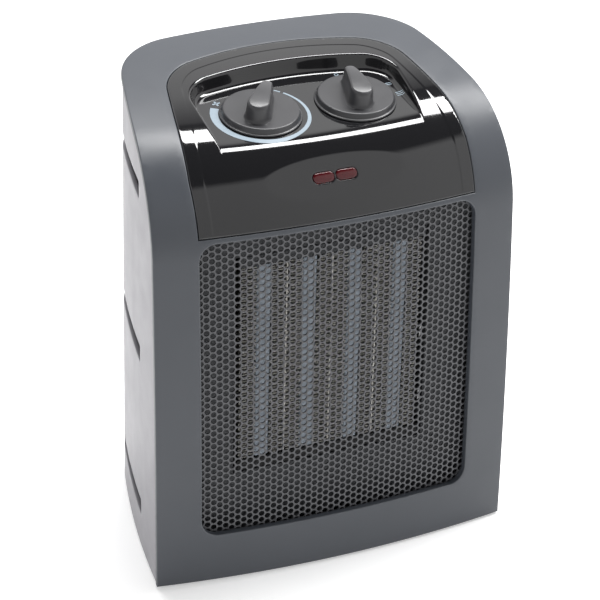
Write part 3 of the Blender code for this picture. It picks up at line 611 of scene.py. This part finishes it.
def wear_edges(material, colour, amount):
    """Rub the rolled edges towards another colour, in patches."""
    attribute = new_node(material, "Attribute", attribute_name="edge_wear")
    patches = ranged(material, noise(material, 90.0), 0.2 * amount, amount)
    blend_colour(material, product(material, attribute.outputs["Fac"], patches), colour)


def vary_roughness(material, scale, low, high):
    patches = ranged(material, noise(material, scale), low, high)
    join(material, patches, shader_inputs(material)["Roughness"])


def add_bump(material, distance, scale, detail=3.0, stretch=(1, 1, 1)):
    """Raise the surface by up to a distance in metres, following a noise."""
    height = noise(material, scale, detail, stretch)
    bump = new_node(material, "Bump")
    fill(bump.inputs, {"Strength": 1.0, "Distance": distance})
    join(material, height, bump.inputs["Height"])
    normal = shader_inputs(material)["Normal"]
    if normal.is_linked:
        join(material, normal.links[0].from_socket, bump.inputs["Normal"])
    join(material, bump.outputs["Normal"], normal)


def slate_plastic(material):
    paint(material, (0.044, 0.049, 0.059), 0.40)
    mottle(material, 14.0, 0.35, (0.036, 0.041, 0.049))
    wear_edges(material, (0.12, 0.13, 0.14), 0.5)
    vary_roughness(material, 60.0, 0.36, 0.44)
    add_bump(material, 0.000006, 2600.0, 2.0)
    add_bump(material, 0.00008, 25.0, 1.0)


def silver_plastic(material):
    paint(material, (0.222, 0.214, 0.234), 0.42)
    mottle(material, 11.0, 0.5, (0.20, 0.195, 0.215))
    mottle(material, 5200.0, 0.25, (0.33, 0.325, 0.35), 1.0, (0.45, 0.75))
    wear_edges(material, (0.45, 0.45, 0.46), 0.4)
    vary_roughness(material, 70.0, 0.38, 0.46)
    add_bump(material, 0.000007, 2400.0, 2.0)


def gloss_black(material):
    paint(material, (0.009, 0.009, 0.010), 0.06)
    fill(shader_inputs(material), {"Coat Weight": 0.3, "Coat Roughness": 0.03})
    wear_edges(material, (0.06, 0.06, 0.065), 0.6)
    vary_roughness(material, 45.0, 0.05, 0.09)
    add_bump(material, 0.00003, 38.0, 2.0)


def knob_plastic(material):
    paint(material, (0.034, 0.034, 0.037), 0.32)
    mottle(material, 40.0, 0.5, (0.028, 0.028, 0.031))
    wear_edges(material, (0.12, 0.12, 0.12), 0.5)
    vary_roughness(material, 120.0, 0.30, 0.38)
    add_bump(material, 0.000006, 3500.0, 2.0)


def black_plastic(material):
    paint(material, (0.050, 0.052, 0.057), 0.55)
    mottle(material, 60.0, 0.6, (0.038, 0.040, 0.044))
    vary_roughness(material, 150.0, 0.5, 0.65)
    add_bump(material, 0.00002, 1800.0, 2.0)


def red_lens(material):
    paint(material, (0.08, 0.003, 0.006), 0.12)
    fill(shader_inputs(material), {"Transmission Weight": 0.35, "IOR": 1.49})
    mottle(material, 900.0, 0.5, (0.045, 0.002, 0.004))
    add_bump(material, 0.00006, 700.0, 1.0, (1.0, 0.1, 0.1))


def lamp_glass(material):
    paint(material, (0.85, 0.70, 0.62), 0.05)
    fill(shader_inputs(material), {"Transmission Weight": 0.9})
    vary_roughness(material, 300.0, 0.03, 0.09)


def grille_metal(material):
    paint(material, (0.072, 0.073, 0.079), 0.42, 0.2)
    mottle(material, 45.0, 0.5, (0.060, 0.061, 0.066))
    vary_roughness(material, 200.0, 0.32, 0.46)
    add_bump(material, 0.00001, 2600.0, 2.0)


def ceramic(material):
    paint(material, (0.34, 0.385, 0.44), 0.36)
    mottle(material, 160.0, 0.6, (0.26, 0.30, 0.35))
    vary_roughness(material, 240.0, 0.42, 0.6)
    add_bump(material, 0.00003, 1500.0)


def aluminium(material):
    paint(material, (0.56, 0.545, 0.52), 0.40, 0.9)
    mottle(material, 110.0, 0.6, (0.42, 0.40, 0.37))
    vary_roughness(material, 400.0, 0.28, 0.45)
    add_bump(material, 0.00001, 1600.0, 2.0, (0.1, 1.0, 1.0))


def steel(material):
    paint(material, (0.60, 0.60, 0.61), 0.3, 1.0)
    mottle(material, 120.0, 0.5, (0.50, 0.50, 0.49))
    vary_roughness(material, 500.0, 0.22, 0.38)
    add_bump(material, 0.00001, 1300.0, 2.0, (1.0, 1.0, 0.1))


def lamination_steel(material):
    paint(material, (0.24, 0.24, 0.25), 0.5, 0.9)
    mottle(material, 150.0, 0.5, (0.16, 0.13, 0.11))
    add_bump(material, 0.0001, 1600.0, 1.0, (0.02, 1.0, 0.02))
    vary_roughness(material, 300.0, 0.4, 0.6)


def coil_winding(material):
    paint(material, (0.50, 0.19, 0.07), 0.32, 0.5)
    mottle(material, 200.0, 0.6, (0.34, 0.12, 0.05))
    add_bump(material, 0.00012, 1900.0, 1.0, (1.0, 0.05, 0.05))
    vary_roughness(material, 300.0, 0.25, 0.42)


def rubber(material):
    paint(material, (0.022, 0.022, 0.023), 0.8)
    mottle(material, 130.0, 0.5, (0.035, 0.035, 0.035))
    vary_roughness(material, 200.0, 0.7, 0.9)
    add_bump(material, 0.00003, 2200.0)


def white_print(material):
    paint(material, (0.23, 0.285, 0.33), 0.4)
    mottle(material, 500.0, 0.35, (0.195, 0.245, 0.29))
    vary_roughness(material, 300.0, 0.35, 0.5)


def studio_floor(material):
    paint(material, (0.80, 0.80, 0.80), 0.6)
    fill(shader_inputs(material), {"Emission Color": (1, 1, 1, 1), "Emission Strength": 0.35})
    vary_roughness(material, 8.0, 0.55, 0.7)


MATERIALS = {
    painter.__name__: made(painter) for painter in (
        slate_plastic, silver_plastic, gloss_black, knob_plastic, black_plastic, red_lens, lamp_glass,
        grille_metal, ceramic, aluminium, steel, lamination_steel, coil_winding, rubber,
    )
}


def dress_cad_nodes():
    """Give every carried-over CAD node the full material of its slot, except the bottom element holder, which
    gets the dark rubber as painted shade.
    """
    for entry in frame["record"]["subparts"]:
        mesh = frame["nodes"][entry["node"]].data
        mesh.materials.clear()
        # Painted shade: the bottom element holder gets the dark rubber in place of its own slot's material,
        # to stand for the shadow that falls below the element.
        in_painted_shade = entry["node"] == "element_holder_bottom"
        mesh.materials.append(MATERIALS["rubber" if in_painted_shade else entry["material_slot"]])


# -------- casing


def make_bezel():
    outline = skin_outline(side_at, lambda x: rear_at(x, REAR_TOP), REAR_CORNER, 0.0)
    half_height = (GRILLE_TOP - GRILLE_BOTTOM) / 2
    centre = (GRILLE_TOP + GRILLE_BOTTOM) / 2
    opening = [
        (x, float(along_at_z(centre + z)))
        for x, z in rounded_rectangle(GRILLE_HALF_WIDTH, half_height, GRILLE_CORNER, 8)
    ]
    holes = [opening, panel_outline(GAP)]
    shape, wear = sheet(outline, holes, casing, BEZEL_WALL, roll=0.0006, spacing=0.003, edge_spacing=0.0014)
    as_piece("bezel_skin", shape, "slate_plastic", ["front_bezel"], wear)


# How much of u goes to the housing's side, to its rear corner and to half its back.
SIDE_RUN, CORNER_RUN, REAR_RUN = 0.108, 0.034, 0.046
HALF_ROUND = SIDE_RUN + CORNER_RUN + REAR_RUN
HOUSING_FRONT = FRONT - 0.003


def housing_corner(z):
    """Where the housing's right rear corner starts and ends at a height: its start y, corner x and end x."""
    corner = REAR_CORNER - HOUSING_INSET
    x = side_at(REAR, HOUSING_INSET) + 0 * z
    for _ in range(20):
        x = side_at(rear_at(x, z, HOUSING_INSET), HOUSING_INSET)
    return rear_at(x, z, HOUSING_INSET) - corner, x, x - corner


def housing_place(u, z):
    """A point on the housing: u runs from its right front edge round the back to the left one."""
    mirrored = u > HALF_ROUND
    run = np.where(mirrored, 2 * HALF_ROUND - u, u)
    start_y, corner_x, end_x = housing_corner(z)
    side_y = HOUSING_FRONT + (start_y - HOUSING_FRONT) * run / SIDE_RUN
    t = np.clip((run - SIDE_RUN) / CORNER_RUN, 0, 1)
    corner_start = (side_at(start_y, HOUSING_INSET), start_y)
    corner_point = (corner_x, rear_at(corner_x, z, HOUSING_INSET))
    corner_end = (end_x, rear_at(end_x, z, HOUSING_INSET))
    round_x, round_y = conic(corner_start, corner_point, corner_end, t)
    back_x = end_x * (HALF_ROUND - run) / REAR_RUN
    on_side, on_back = run < SIDE_RUN, run > SIDE_RUN + CORNER_RUN
    x = np.where(on_side, side_at(side_y, HOUSING_INSET), np.where(on_back, back_x, round_x))
    y = np.where(on_side, side_y, np.where(on_back, rear_at(back_x, z, HOUSING_INSET), round_y))
    return np.stack([np.where(mirrored, -x, x), y, z], axis=-1)


def housing(u, z):
    step = 0.00002
    across = housing_place(u + step, z) - housing_place(u - step, z)
    up = housing_place(u, z + step) - housing_place(u, z - step)
    normals = np.cross(across, up)
    return housing_place(u, z), normals / np.linalg.norm(normals, axis=-1, keepdims=True)


def housing_u(y, z):
    """u on the right side at a depth and height."""
    start_y, _, _ = housing_corner(z)
    return SIDE_RUN * (y - HOUSING_FRONT) / (start_y - HOUSING_FRONT)


def back_u(x, z):
    """u on the back at a place across, positive x on the right."""
    _, _, end_x = housing_corner(z)
    return HALF_ROUND - REAR_RUN * x / end_x


def housing_outline():
    depth = BEZEL_WALL + GAP
    inner_y = PROFILE_Y + depth * np.cos(PROFILE_HEADING)
    inner_z = PROFILE_Z - depth * np.sin(PROFILE_HEADING)
    half = []
    for y, z in zip(inner_y[::6], inner_z[::6]):
        z = max(float(z), FOOT_GAP)
        x = HALF_WIDTH
        for _ in range(5):
            x = side_at(y + bow(x), HOUSING_INSET)
        u = float(housing_u(y + bow(x), z))
        if u > SIDE_RUN:
            break
        half.append((u, z))
    for u in np.linspace(SIDE_RUN, HALF_ROUND, 60):
        z = REAR_TOP - depth
        for _ in range(6):
            x, y, _ = housing_place(np.array(u), np.array(z))
            z = float(np.interp(y - bow(x), inner_y, inner_z))
        half.append((float(u), z))
    return half + [(2 * HALF_ROUND - u, z) for u, z in half[-2::-1]]


def side_slot(height):
    """A slot in the right side that gets lower towards the back, with small round corners."""
    loop = []
    radius, steps = 0.0008, 4
    ends = {1: (SLOT_END, SLOT_SIZES[1]), -1: (SLOT_START, SLOT_SIZES[0])}
    for quarter, (sign_y, sign_z) in ((3, (1, -1)), (0, (1, 1)), (1, (-1, 1)), (2, (-1, -1))):
        y, size = ends[sign_y]
        for k in range(steps + 1):
            angle = radians(90 * (quarter + k / steps))
            z = height + sign_z * (size / 2 - radius) + radius * sin(angle)
            loop.append((float(housing_u(y - sign_y * radius + radius * cos(angle), z)), z))
    return loop


def on_back(x, z):
    return float(back_u(x, z)), z


def intake_slots():
    """Rows of slots that fill a circle behind the fan, on both sides of a middle rib."""
    rows = int(INTAKE_RADIUS // INTAKE_PITCH)
    loops = []
    for row in range(-rows, rows + 1):
        height = FAN_HEIGHT + row * INTAKE_PITCH
        reach = sqrt(INTAKE_RADIUS ** 2 - (row * INTAKE_PITCH) ** 2)
        half = (reach - INTAKE_RIB / 2) / 2
        shape = rounded_rectangle(half, INTAKE_SLOT / 2, INTAKE_SLOT / 2 - 0.0002, 4)
        for centre in (-half - INTAKE_RIB / 2, half + INTAKE_RIB / 2):
            loops.append([on_back(centre + x, height + z) for x, z in shape])
    return loops


def round_hole(x, z, radius, steps=28):
    angles = [2 * pi * k / steps for k in range(steps)]
    return [on_back(x + radius * cos(a), z + radius * sin(a)) for a in angles]


def screw_seat(x, z):
    """The shallow cup moulded into the back round one screw."""
    inner, outer, low = 0.0017, 0.0054, -0.0032
    profile = [(SEAT_RADIUS, 0.0), (SEAT_RADIUS, -SEAT_DEPTH), (inner, -SEAT_DEPTH), (inner, low),
               (outer, low), (outer, -0.0012), (SEAT_RADIUS, 0.0)]
    return moved(revolved(profile, 48), back_axis(x, z))


def back_axis(x, z):
    """A frame on the back of the housing whose Z points out of it."""
    point, normal = housing(np.array(float(back_u(x, z))), np.array(z))
    return Matrix.Translation(Vector(point)) @ Vector(normal).to_track_quat("Z", "Y").to_matrix().to_4x4()


def make_housing():
    right_slots = [side_slot(height) for height in SLOT_HEIGHTS]
    left_slots = [[(2 * HALF_ROUND - u, z) for u, z in loop] for loop in right_slots]
    holes = right_slots + left_slots + intake_slots() + [round_hole(0, GLAND_HEIGHT, GLAND_HOLE)]
    screws = [(side * SCREW_X, height) for side in (-1, 1) for height in SCREW_HEIGHTS]
    holes += [round_hole(x, z, SEAT_RADIUS) for x, z in screws]
    shape, wear = sheet(
        housing_outline(), holes, housing, HOUSING_WALL,
        roll=0.0004, spacing=0.003, edge_spacing=0.0012, roll_steps=3,
    )
    seats = merged(*[screw_seat(x, z) for x, z in screws])
    wear += [0.0] * len(seats[0])
    as_piece("housing_skin", merged(shape, seats), "silver_plastic", ["rear_housing"], wear)


def make_screws():
    head, shank = 0.0036, 0.0015
    corners = [(0, 0.0002, 0), (head, 0.0000, 0.0007), (head, -0.0009, 0), (shank, -0.0009, 0),
               (shank, -0.012, 0), (0, -0.014, 0)]
    length, width, low, high = 0.0042, 0.0008, -0.0008, 0.001
    for side_name, side in (("left", -1), ("right", 1)):
        for level, z in zip(("bottom", "top"), SCREW_HEIGHTS):
            axis = back_axis(side * SCREW_X, z)
            shape = moved(revolved(rounded_profile(corners), 40), axis)
            name = f"{level}_{side_name}"
            screw = as_piece(f"screw_{name}", shape, "steel", [f"housing_screw_{name}"])
            for bar in (box_shape(length, width, low, high), box_shape(width, length, low, high)):
                carved(screw, moved(bar, axis @ Matrix.Rotation(0.4 * side, 4, "Z")))


def box_shape(x, y, low, high):
    """A box x by y between two heights."""
    corners = [(sx * x / 2, sy * y / 2) for sx, sy in ((1, 1), (-1, 1), (-1, -1), (1, -1))]
    return lofted([[(cx, cy, z) for cx, cy in corners] for z in (low, high)])


def make_bushing():
    """The rubber bushing in the back wall, with the hole that a cord would come out of."""
    hole, neck = 0.0036, 0.0062
    corners = [
        (hole, 0.0006, 0), (0.0044, 0.0013, 0.0004), (0.0080, 0.0011, 0.0005), (0.0082, 0.0001, 0),
        (neck, 0.0001, 0), (neck, -0.0034, 0), (0.0054, -0.0084, 0), (hole, -0.0084, 0), (hole, 0.0006, 0),
    ]
    shape = moved(revolved(rounded_profile(corners), 64), back_axis(0, GLAND_HEIGHT))
    as_piece("cord_bushing", shape, "rubber", ["cord_gland"])


# -------- control panel


def tray_rim():
    """The tray's rim seen from above, from its right front end round the back to its left one."""
    back = plan_back(lambda y: TRAY_HALF_WIDTH, lambda x: TRAY_REAR - TRAY_REAR_BOW * x ** 2, TRAY_CORNER)
    half = [(TRAY_HALF_WIDTH, TRAY_LIP[0] - 0.004), *back]
    return evened(half + [(-x, y) for x, y in half[-2::-1]], 0.001)


def panel_border():
    """The panel's outline without its straight bottom edge."""
    return evened(panel_outline(), 0.001)


RIM = tray_rim()
BORDER = panel_border()


def smooth_step(value, low, high):
    share = np.clip((value - low) / (high - low), 0, 1)
    return share * share * (3 - 2 * share)


def soft_above_zero(value, ease):
    """The value itself where it is positive and nought elsewhere, with an eased bend between."""
    return np.where(value > ease, value, np.where(value > -ease, (value + ease) ** 2 / (4 * ease), 0))


def tray_section(inside, depth):
    """Height above the tray's floor at a distance inside its rim, where the tray is this deep."""
    lean = atan(1 / TRAY_WALL_SLOPE)
    share = (1 - sin(lean)) / cos(lean)
    fillet, rim = np.minimum(TRAY_FILLET, 0.45 * depth) + 1e-9, np.minimum(TRAY_RIM, 0.45 * depth) + 1e-9
    fillet_centre = TRAY_DRAFT + fillet * share
    top = TRAY_DRAFT - depth / TRAY_WALL_SLOPE
    rim_centre = top - rim * share
    wall = (TRAY_DRAFT - inside) * TRAY_WALL_SLOPE
    low_arc = fillet - np.sqrt(np.maximum(fillet ** 2 - (inside - fillet_centre) ** 2, 0))
    high_arc = depth - rim + np.sqrt(np.maximum(rim ** 2 - (inside - rim_centre) ** 2, 0))
    height = np.where(inside > fillet_centre - fillet * cos(lean), low_arc, wall)
    height = np.where(inside > fillet_centre, 0, height)
    height = np.where(inside < rim_centre + rim * cos(lean), high_arc, height)
    return np.where(inside < rim_centre, depth, height)


def panel(x, s):
    """The panel's surface: the casing's own, with a sunk middle, an oval dimple and the tray."""
    points, normals = casing(x, s)
    sunk = smooth_step(distance_to(x, s, BORDER), STEP_IN - STEP_RAMP, STEP_IN + STEP_RAMP)
    across = (x - sum(LENS_CENTRES) / 2) / OVAL_SIZE[0]
    along = (s - along_at_heading(LENS_HEADING)) / OVAL_SIZE[1]
    dimple = soft_above_zero(1 - across ** 2 - along ** 2, 0.05)
    points = points - normals * (STEP_DEPTH * sunk + OVAL_DEPTH * dimple)[:, None]
    floor = TRAY_LIP[1] + (points[:, 1] - TRAY_LIP[0]) * tan(TRAY_TILT)
    depth = soft_above_zero(points[:, 2] - floor, LIP_ROUND)
    inside = distance_to(points[:, 0], points[:, 1], RIM)
    closed_rim = [*RIM, (-TRAY_HALF_WIDTH, FRONT - 0.01), (TRAY_HALF_WIDTH, FRONT - 0.01)]
    inside = np.where(within(points[:, :2], closed_rim), inside, -inside)
    points[:, 2] -= depth - tray_section(inside, depth)
    return points, normals


def make_panel():
    outline = panel_outline()
    lens_s = float(along_at_heading(LENS_HEADING))
    windows = [[(centre + x, lens_s + y) for x, y in lens_outline(0.0002)] for centre in LENS_CENTRES]
    contours = [on_profile(offset_line(RIM, inside)) for inside in np.arange(-0.0010, 0.0050, 0.00025)]
    for inside in (-1.5, -1.0, -0.5, 0.0, 0.5, 1.0, 1.5):
        line = offset_line(BORDER, STEP_IN + inside * STEP_RAMP)
        contours.append([tuple(point) for point in line if point[1] > outline[0][1] + 0.0015])
    shape, wear = sheet(
        outline, windows, panel, PANEL_WALL,
        roll=0.0006, spacing=0.0013, edge_spacing=0.0008, lines=contours,
    )
    as_piece("panel_skin", shape, "gloss_black", ["control_panel"], wear)


def lens_outline(grow):
    half_x, half_y = LENS_SIZE[0] / 2 + grow, LENS_SIZE[1] / 2 + grow
    return rounded_rectangle(half_x, half_y, half_y - 0.0001)


def make_lenses():
    rounding, steps = 0.0007, 5
    top = -OVAL_DEPTH - STEP_DEPTH + 0.0004
    levels = [(0.0, -0.0035), (0.0, top - rounding)]
    for k in range(1, steps + 1):
        angle = pi / 2 * k / steps
        levels.append((-rounding * (1 - cos(angle)), top - rounding + rounding * sin(angle)))
    levels.append((-0.0016, top + 0.0001))
    shape = lofted([[(x, y, height) for x, y in lens_outline(grow)] for grow, height in levels])
    y, z, _ = profile_at(along_at_heading(LENS_HEADING))
    for side, x in zip(("left", "right"), LENS_CENTRES):
        axis = Matrix.Translation((x, y + bow(x), z)) @ Matrix.Rotation(pi / 2 - LENS_HEADING, 4, "X")
        as_piece(f"{side}_lens", moved(shape, axis), "red_lens", [f"lens_{side}"])


# -------- knobs and the marks round them


def knob_axis(x, pointer):
    floor = TRAY_LIP[1] + (KNOB_DEPTH - TRAY_LIP[0]) * tan(TRAY_TILT)
    place = Matrix.Translation((x, KNOB_DEPTH, floor))
    return place @ Matrix.Rotation(TRAY_TILT, 4, "X") @ Matrix.Rotation(pointer, 4, "Z")


def arc(centre, radius, start, end, count):
    return [(centre + radius * cos(a), radius * sin(a)) for a in np.linspace(start, end, count)]


def handle_outline(grow):
    """A teardrop, wide at the front and narrow at the end that points, from its tip round to its tip."""
    front_centre, front_radius = -0.0076, 0.0060 + grow
    tip_centre, tip_radius = 0.0107, 0.0034 + grow
    lean = asin((front_radius - tip_radius) / (tip_centre - front_centre))
    tip = arc(tip_centre, tip_radius, 0, pi / 2 - lean, 8)
    front = arc(front_centre, front_radius, pi / 2 - lean, pi, 12)
    side = [tuple(Vector(tip[-1]).lerp(Vector(front[0]), k / 10)) for k in range(1, 10)]
    upper = tip + side + front
    return upper + [(x, -y) for x, y in upper[-2:0:-1]]


def handle_top(x):
    """Height of the handle above the disc: a dome that falls a little faster to the tip than to the front."""
    height, crest = 0.0098, 0.001
    fall = 8.0 if x < crest else 11.0
    return height - fall * (x - crest) ** 2


def handle_shape(base):
    """The raised grip, lofted from a flared foot to a rounded top edge."""
    levels = [
        (0.0, 0.0010), (0.02, 0.0007), (0.06, 0.0004), (0.13, 0.0001), (0.25, -0.0001), (0.5, -0.0003),
        (0.8, -0.0006), (0.9, -0.0008), (0.945, -0.001), (0.975, -0.0013), (0.993, -0.0016), (1.0, -0.002),
    ]
    verts, faces = lofted([
        [(x, y, base + share * handle_top(x)) for x, y in handle_outline(grow)] for share, grow in levels
    ])
    # Strips across take the place of the flat face at the top, so that they follow its dome.
    bottom, lid, *sides = faces
    count, top = len(lid), lid[0]
    strips = []
    for k in range(count // 2):
        left, right = (count - k) % count, count - k - 1
        strips.append(tuple(dict.fromkeys((top + k, top + k + 1, top + right, top + left))))
    return verts, [bottom, *sides, *strips]


def make_knob(name, x, pointer):
    disc_top, bottom = 0.0036, 0.0004
    corners = [
        (0, disc_top - 0.0003, 0), (0.0150, disc_top - 0.0002, 0), (0.0181, disc_top, 0.0008),
        (0.0188, 0.0012, 0.0004), (0.0196, 0.0009, 0.0002), (0.0197, bottom, 0), (0.0065, bottom, 0),
        (0, bottom, 0),
    ]
    disc = revolved(rounded_profile(corners), 128)
    shape = moved(merged(disc, handle_shape(disc_top - 0.0004)), knob_axis(x, pointer))
    as_piece(f"{name}_knob", shape, "knob_plastic", [f"knob_{name}"], body=f"{name}_dial")


def printed(strips):
    """Thin prints on the panel; each strip is two matching edges of (x, y) points seen from above."""
    verts, faces = [], []
    for left, right in strips:
        faces += bar_faces(len(left), len(verts))
        for lift in (0.00005, -0.00010):
            for edge in (left, right):
                x, y = np.array(edge).T
                points, _ = panel(x, along_at_y(y - bow(x)))
                verts += [(px, py - lift * sin(TRAY_TILT), pz + lift) for px, py, pz in points]
    return verts, faces


def polar(x, radius, degrees):
    angle = radians(degrees)
    return x + radius * cos(angle), KNOB_DEPTH + radius * sin(angle) * cos(TRAY_TILT)


def arc_strip(x, start, end, inner, outer, steps=72):
    """A strip round a knob from one angle to another, whose inner radius changes evenly."""
    strip = ([], [])
    for k in range(steps + 1):
        share = k / steps
        for edge, radius in zip(strip, (outer, inner[0] + (inner[1] - inner[0]) * share)):
            edge.append(polar(x, radius, start + (end - start) * share))
    return strip


def line_strip(centre, direction, length, width, steps=6):
    """A straight strip about a centre, along a direction in degrees."""
    angle = radians(direction)
    run, across = Vector((cos(angle), sin(angle))), Vector((-sin(angle), cos(angle)))
    places = [Vector(centre) + run * length * (k / steps - 0.5) for k in range(steps + 1)]
    return [[tuple(place + across * half) for place in places] for half in (width / 2, -width / 2)]


def make_marks():
    """The thermostat's tapering scale with its signs, and three plain signs for the mode knob."""
    x, outer, stroke = KNOB_SHIFT - KNOB_SPREAD, 0.0239, 0.0009
    plus, minus = polar(x, 0.0224, 138), polar(x, 0.0234, 49)
    strips = [arc_strip(x, 149, 401, (outer - 0.0040, outer - 0.0010), outer)]
    strips += [line_strip(plus, direction, 0.0040, stroke) for direction in (8, 98)]
    strips.append(line_strip(minus, -41, 0.0032, stroke))
    add_print("thermostat_scale", strips)
    x, row, stroke = KNOB_SHIFT + KNOB_SPREAD, 0.0013, 0.0005
    high, low, off = polar(x, 0.0233, -1), polar(x, 0.0236, 24.6), polar(x, 0.0238, 89)
    strips = [line_strip((high[0], high[1] + k * row), 4, 0.0038, stroke) for k in (-1, 0, 1)]
    strips += [line_strip((low[0], low[1] + k * row), 4, 0.0030, stroke) for k in (-1, 0)]
    turn = [Vector((cos(a), sin(a))) for a in np.linspace(0, 2 * pi, 17)]
    strips.append([[tuple(Vector(off) + radius * way) for way in turn] for radius in (0.0011, 0.0007)])
    add_print("mode_signs", strips)


def add_print(name, strips):
    marks = as_piece(name, printed(strips), "gloss_black")
    marks.data.materials.clear()
    marks.data.materials.append(PRINT)


# -------- grille and heating element


def make_grille():
    """A punched sheet: round holes in upright columns, each in its own six-sided cell."""
    pitch, radius, thickness = 0.0035, 0.00147, 0.0008
    depth = BEZEL_WALL + GAP
    column_step = pitch * sqrt(0.75)
    columns = ceil((GRILLE_HALF_WIDTH + 0.0022) / column_step)
    rows = ceil((GRILLE_TOP - GRILLE_BOTTOM + 0.005) / pitch)
    sides = 12
    angles = [radians(360 / sides * k) for k in range(sides)]
    reaches = (pitch / sqrt(3), pitch / 2) * (sides // 2)
    hole_ring = [(radius * cos(a), radius * sin(a)) for a in angles]
    edge_ring = [(reach * cos(a), reach * sin(a)) for reach, a in zip(reaches, angles)]
    index, spots, faces = {}, [], []

    def spot(x, z, layer):
        key = (round(x * 1e6), round(z * 1e6), layer)
        if key not in index:
            index[key] = len(spots)
            spots.append((x, z, layer))
        return index[key]

    for column in range(-columns, columns + 1):
        for row in range(rows + 1):
            x = column * column_step
            z = GRILLE_BOTTOM - 0.0025 + (row + (column % 2) / 2) * pitch
            hole, edge = [], []
            for layer in (0, 1):
                hole.append([spot(x + dx, z + dz, layer) for dx, dz in hole_ring])
                edge.append([spot(x + dx, z + dz, layer) for dx, dz in edge_ring])
            faces += band(hole[0], edge[0]) + band(edge[1], hole[1]) + band(hole[1], hole[0])
    spots = np.array(spots)
    points, normals = casing(spots[:, 0], along_at_z(spots[:, 1]))
    points = points - normals * (depth + thickness * spots[:, 2])[:, None]
    as_piece("grille_sheet", (points, faces), "grille_metal", ["front_grille"])


def make_fins():
    """Eight strips of thin metal folded to and fro up the element, at the fine pitch of the real ones."""
    folds, thickness = 86, 0.00023
    for number in range(1, 9):
        node = f"fin_strip_{number}"
        low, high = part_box(node)
        rise = (high.z - low.z) / folds
        if number == 1:
            low.x -= 0.0010
        bend = rise * 0.45
        path = []
        for fold in range(folds):
            z = low.z + (fold + 0.5) * rise
            here, there = (low.x, high.x) if fold % 2 == 0 else (high.x, low.x)
            lean = bend if there > here else -bend
            path += [(here + lean, z - 0.08 * rise), (there - lean, z + 0.08 * rise)]
            if fold < folds - 1:
                turn = ((there - lean * 0.3, 0.2), (there, 0.5), (there - lean * 0.3, 0.8))
                path += [(x, z + share * rise) for x, share in turn]
        lines = [offset_line(path, side * thickness / 2) for side in (1, -1)]
        verts = [(x, y, z) for line in lines for y in (low.y, high.y) for x, z in line]
        as_piece(f"fins_{number}", (verts, bar_faces(len(path))), "aluminium", [node])


def make_terminal():
    """The upper terminal: a thin tab by the element whose front edge is rolled over and catches the light."""
    low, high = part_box("terminal_upper")
    roll = 0.0009
    turn = np.linspace(0, -1.5 * pi, 18)
    outline = [(high.x, high.y)]
    outline += [(high.x - roll + roll * cos(a), low.y + roll + roll * sin(a)) for a in turn]
    outline.append((low.x, high.y))
    shape = lofted([[(x, y, z) for x, y in outline] for z in (high.z, low.z)])
    as_piece("terminal_tab", shape, "steel", ["terminal_upper"])


# -------- floor, light and camera


def make_floor():
    bpy.ops.mesh.primitive_plane_add(size=12)
    floor = bpy.context.object
    floor.name = "studio_floor"
    floor.data.materials.append(made(studio_floor))


def make_world():
    """A pale studio, brightest on the right and dark overhead in front, which gives the gloss its bands."""
    world = bpy.data.worlds.new("studio")
    bpy.context.scene.world = world
    world.use_nodes = True
    direction = new_node(world, "TexCoord").outputs["Generated"]
    brightest = new_node(world, "Math", operation="MAXIMUM")
    bands = (((0.0, 0.158, 1.0), 1.0, 0.03, (0.62, 0.68)), ((0.0, 1.0, 0.0), 0.03, 1.2, (0.48, 0.62)))
    for socket, (axis, before, after, fade) in zip(brightest.inputs, bands):
        tilt = new_node(world, "VectorMath", operation="DOT_PRODUCT")
        tilt.inputs[1].default_value = axis
        join(world, direction, tilt.inputs[0])
        join(world, ranged(world, tilt.outputs["Value"], before, after, fade), socket)
    parts = new_node(world, "SeparateXYZ")
    join(world, direction, parts.inputs["Vector"])
    window = ranged(world, parts.outputs["X"], 0.90, 1.15, (0.20, 0.55))
    background = world.node_tree.nodes["Background"].inputs
    join(world, product(world, window, brightest.outputs["Value"]), background["Strength"])
    fill(background, {"Color": (1, 1, 1, 1)})


def make_light():
    """A long soft box overhead, behind the heater and to its right."""
    data = bpy.data.lights.new("overhead", "AREA")
    data.shape = "RECTANGLE"
    data.size, data.size_y = 1.8, 0.36
    data.energy = 48
    place, target, run = Vector((0.48, 0.24, 1.47)), Vector((0, -0.03, 0.2)), Vector((1.0, -0.36, 0.0))
    away = (place - target).normalized()
    across = (run - run.dot(away) * away).normalized()
    turned = Matrix((across, away.cross(across), away)).transposed().to_4x4()
    placed("overhead", data).matrix_world = Matrix.Translation(place) @ turned


def make_camera():
    """The camera looks at the heater from its front left and from above, slightly rolled."""
    data = bpy.data.cameras.new("camera")
    data.sensor_width, data.lens = 36, 159.97
    target, distance = (0.00233, -0.0090, 0.1147), 1.3138
    turn, drop, roll = 23.657, 29.144, 1.48
    place = Matrix.Translation(target)
    for degrees, axis in ((-turn, "Z"), (90 - drop, "X"), (roll, "Z")):
        place = place @ Matrix.Rotation(radians(degrees), 4, axis)
    camera = placed("camera", data)
    camera.matrix_world = place @ Matrix.Translation((0, 0, distance))
    bpy.context.scene.camera = camera


# -------- build

PRINT = made(white_print)
dress_cad_nodes()
make_bezel()
make_housing()
make_screws()
make_bushing()
make_panel()
make_lenses()
make_knob("thermostat", KNOB_SHIFT - KNOB_SPREAD, THERMOSTAT_POINTER)
make_knob("mode", KNOB_SHIFT + KNOB_SPREAD, MODE_POINTER)
make_marks()
make_grille()
make_fins()
make_terminal()
make_floor()
make_world()
make_light()
make_camera()
bpy.context.scene.view_settings.view_transform = "Standard"
